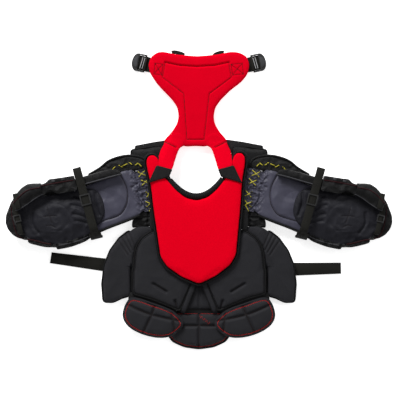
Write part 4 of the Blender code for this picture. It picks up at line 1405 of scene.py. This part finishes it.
class PROTECTOR_OT_lacing(PieceOperator, bpy.types.Operator):
    """Flecked laces through their eyelets at the shoulders"""
    bl_idname = "protector.lacing"
    bl_label = "Shoulder lacing"

    def execute(self, context):
        radius = sizes().lace * 0.72
        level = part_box("right_lace")[0].z + 0.0014
        laces, rings = [], []
        for number, (v, near, far) in enumerate(((0.060, 0.000, 0.024), (0.030, -0.004, 0.020), (-0.012, -0.006, 0.014),
                                                 (-0.044, -0.002, 0.022), (-0.060, 0.004, 0.018))):
            ends = [(near, v + 0.008), (far, v - 0.007)], [(near + 0.002, v - 0.008), (far - 0.001, v + 0.009)]
            for k, ((ua, va), (ub, vb)) in enumerate(ends if number < 4 else ends[:1]):
                middle = ((ua + ub) / 2 + 0.001 * (-1) ** number, (va + vb) / 2)
                path = [Arm.at(ua - 0.001, va, level - 0.0022), Arm.at(ua, va, level),
                        Arm.at(*middle, level + 0.0008 + 0.0022 * k),
                        Arm.at(ub, vb, level), Arm.at(ub + 0.001, vb, level - 0.0022)]
                laces.append(tube(f"right_lace_{number}_{k}", spline(path, 0.0015), radius, "lace"))
                rings += [(ua, va), (ub, vb)]
        for i, (u, v) in enumerate(rings):
            bpy.ops.object.select_all(action="DESELECT")
            bpy.ops.mesh.primitive_torus_add(major_radius=0.0030, minor_radius=0.0008, major_segments=16,
                                             minor_segments=6, location=Arm.at(u, v, level - 0.0014))
            rings[i] = context.object
            bpy.ops.object.transform_apply(location=True, rotation=True, scale=True)
            rings[i].data.shade_smooth()
        eyelets = joined("right_eyelets", *rings)
        fit_pair(joined("right_shoulder_lace", *laces), "{}_shoulder", ["lace"])
        fit_pair(paint(eyelets, "eyelet"), "{}_shoulder", ())

        start, end = SHOULDER_BEND
        flecks = []
        for number, (u, v, du, dv) in enumerate(((0.006, 0.084, 0.012, 0.012), (0.014, 0.098, 0.014, -0.004),
                                                 (0.034, 0.096, 0.012, 0.010),
                                                 (0.052, 0.104, 0.016, -0.002), (0.070, 0.098, 0.012, 0.008),
                                                 (0.094, 0.104, 0.012, -0.006),
                                                 (0.116, 0.094, 0.012, 0.004))):
            height = 0.0385
            path = [Arm.at(u, v, height - 0.0030), Arm.at(u + du * 0.3, v + dv * 0.2, height),
                    Arm.at(u + du * 0.7, v + dv * 0.9, height),
                    Arm.at(u + du, v + dv, height - 0.0030)]
            flecks.append(tube(f"right_rim_lace_{number}", spline(path, 0.0015), radius, "lace"))
        fit_between(joined("right_rim_lace", *flecks), start, end, ())
        return {"FINISHED"}


class PROTECTOR_OT_stage(PieceOperator, bpy.types.Operator):
    """Pale floor, soft lights and a camera straight above"""
    bl_idname = "protector.stage"
    bl_label = "Stage"

    FLOOR_SIZE, FLOOR_LEVEL, FLOOR_GLOW = 14.0, -0.0005, 0.72
    WORLD_LIGHT = 0.28
    LIGHTS = (("key", (-2.1, 4.9, 3.4), 2.2, 470.0), ("fill", (1.9, 0.9, 2.0), 1.8, 17.0),
              ("rim", (-1.2, -1.6, 1.6), 1.8, 8.0))
    CAMERA_PLACE, LENS, SENSOR = (0.0036, 0.119, 3.211), 85.0, 36.0

    def light(self, name, place, size, power):
        lamp = bpy.data.lights.new(name, "AREA")
        lamp.size = size
        lamp.energy = power
        obj = link(name, lamp)
        obj.location = place
        obj.rotation_euler = (Vector((0, 0.1, 0)) - Vector(place)).to_track_quat("-Z", "Y").to_euler()

    def execute(self, context):
        bpy.ops.object.select_all(action="DESELECT")
        bpy.ops.mesh.primitive_plane_add(size=self.FLOOR_SIZE, location=(0, 0, self.FLOOR_LEVEL))
        floor = context.object
        floor.name = "floor"
        finish = Finish("studio_floor", 0.85)
        tone = finish.noise(3.0, 2.0)
        base = colours().floor
        finish.feed("Base Color", finish.mix(tone, shade(base, 0.995), shade(base, 1.005)))
        finish.feed("Emission Color", finish.mix(tone, shade(base, 0.995), shade(base, 1.005)))
        finish.shader.inputs["Emission Strength"].default_value = self.FLOOR_GLOW
        floor.data.materials.append(finish.material)
        world = bpy.data.worlds.new("studio")
        world.use_nodes = True
        world.node_tree.nodes["Background"].inputs["Color"].default_value = (1.0, 1.0, 1.0, 1.0)
        world.node_tree.nodes["Background"].inputs["Strength"].default_value = self.WORLD_LIGHT
        context.scene.world = world
        for light in self.LIGHTS:
            self.light(*light)
        lens = bpy.data.cameras.new("camera")
        lens.lens = self.LENS
        lens.sensor_width = self.SENSOR
        lens.clip_end = 50.0
        camera = link("camera", lens)
        camera.location = self.CAMERA_PLACE
        context.scene.camera = camera
        context.scene.view_settings.view_transform = "Standard"
        return {"FINISHED"}


class PROTECTOR_PT_panel(bpy.types.Panel):
    """Lists the protector's pieces"""
    bl_label = "Protector"
    bl_idname = "PROTECTOR_PT_panel"
    bl_space_type = "VIEW_3D"
    bl_region_type = "UI"
    bl_category = "Protector"

    def draw(self, context):
        for group in (context.scene.protector_sizes, context.scene.protector_colours):
            for name in group.__annotations__:
                self.layout.prop(group, name)
        for operator in OPERATORS:
            self.layout.operator(operator.bl_idname)


OPERATORS = (PROTECTOR_OT_stage, PROTECTOR_OT_chest, PROTECTOR_OT_belly, PROTECTOR_OT_wings, PROTECTOR_OT_lower_pads,
             PROTECTOR_OT_back, PROTECTOR_OT_front_blocks, PROTECTOR_OT_arm_liners, PROTECTOR_OT_arm_shells,
             PROTECTOR_OT_arm_straps, PROTECTOR_OT_lacing)
CLASSES = (ProtectorSizes, ProtectorColours, *OPERATORS, PROTECTOR_PT_panel)


def register():
    for cls in CLASSES:
        bpy.utils.register_class(cls)
    bpy.types.Scene.protector_sizes = PointerProperty(type=ProtectorSizes)
    bpy.types.Scene.protector_colours = PointerProperty(type=ProtectorColours)


def unregister():
    del bpy.types.Scene.protector_sizes
    del bpy.types.Scene.protector_colours
    for cls in reversed(CLASSES):
        bpy.utils.unregister_class(cls)


def main():
    register()
    make_finishes()
    bpy.ops.protector.stage()
    bpy.ops.protector.chest()
    bpy.ops.protector.belly()
    bpy.ops.protector.wings()
    bpy.ops.protector.lower_pads()
    bpy.ops.protector.back()
    bpy.ops.protector.front_blocks()
    bpy.ops.protector.arm_liners()
    bpy.ops.protector.arm_shells()
    bpy.ops.protector.arm_straps()
    bpy.ops.protector.lacing()


if __name__ == "__main__":
    main()
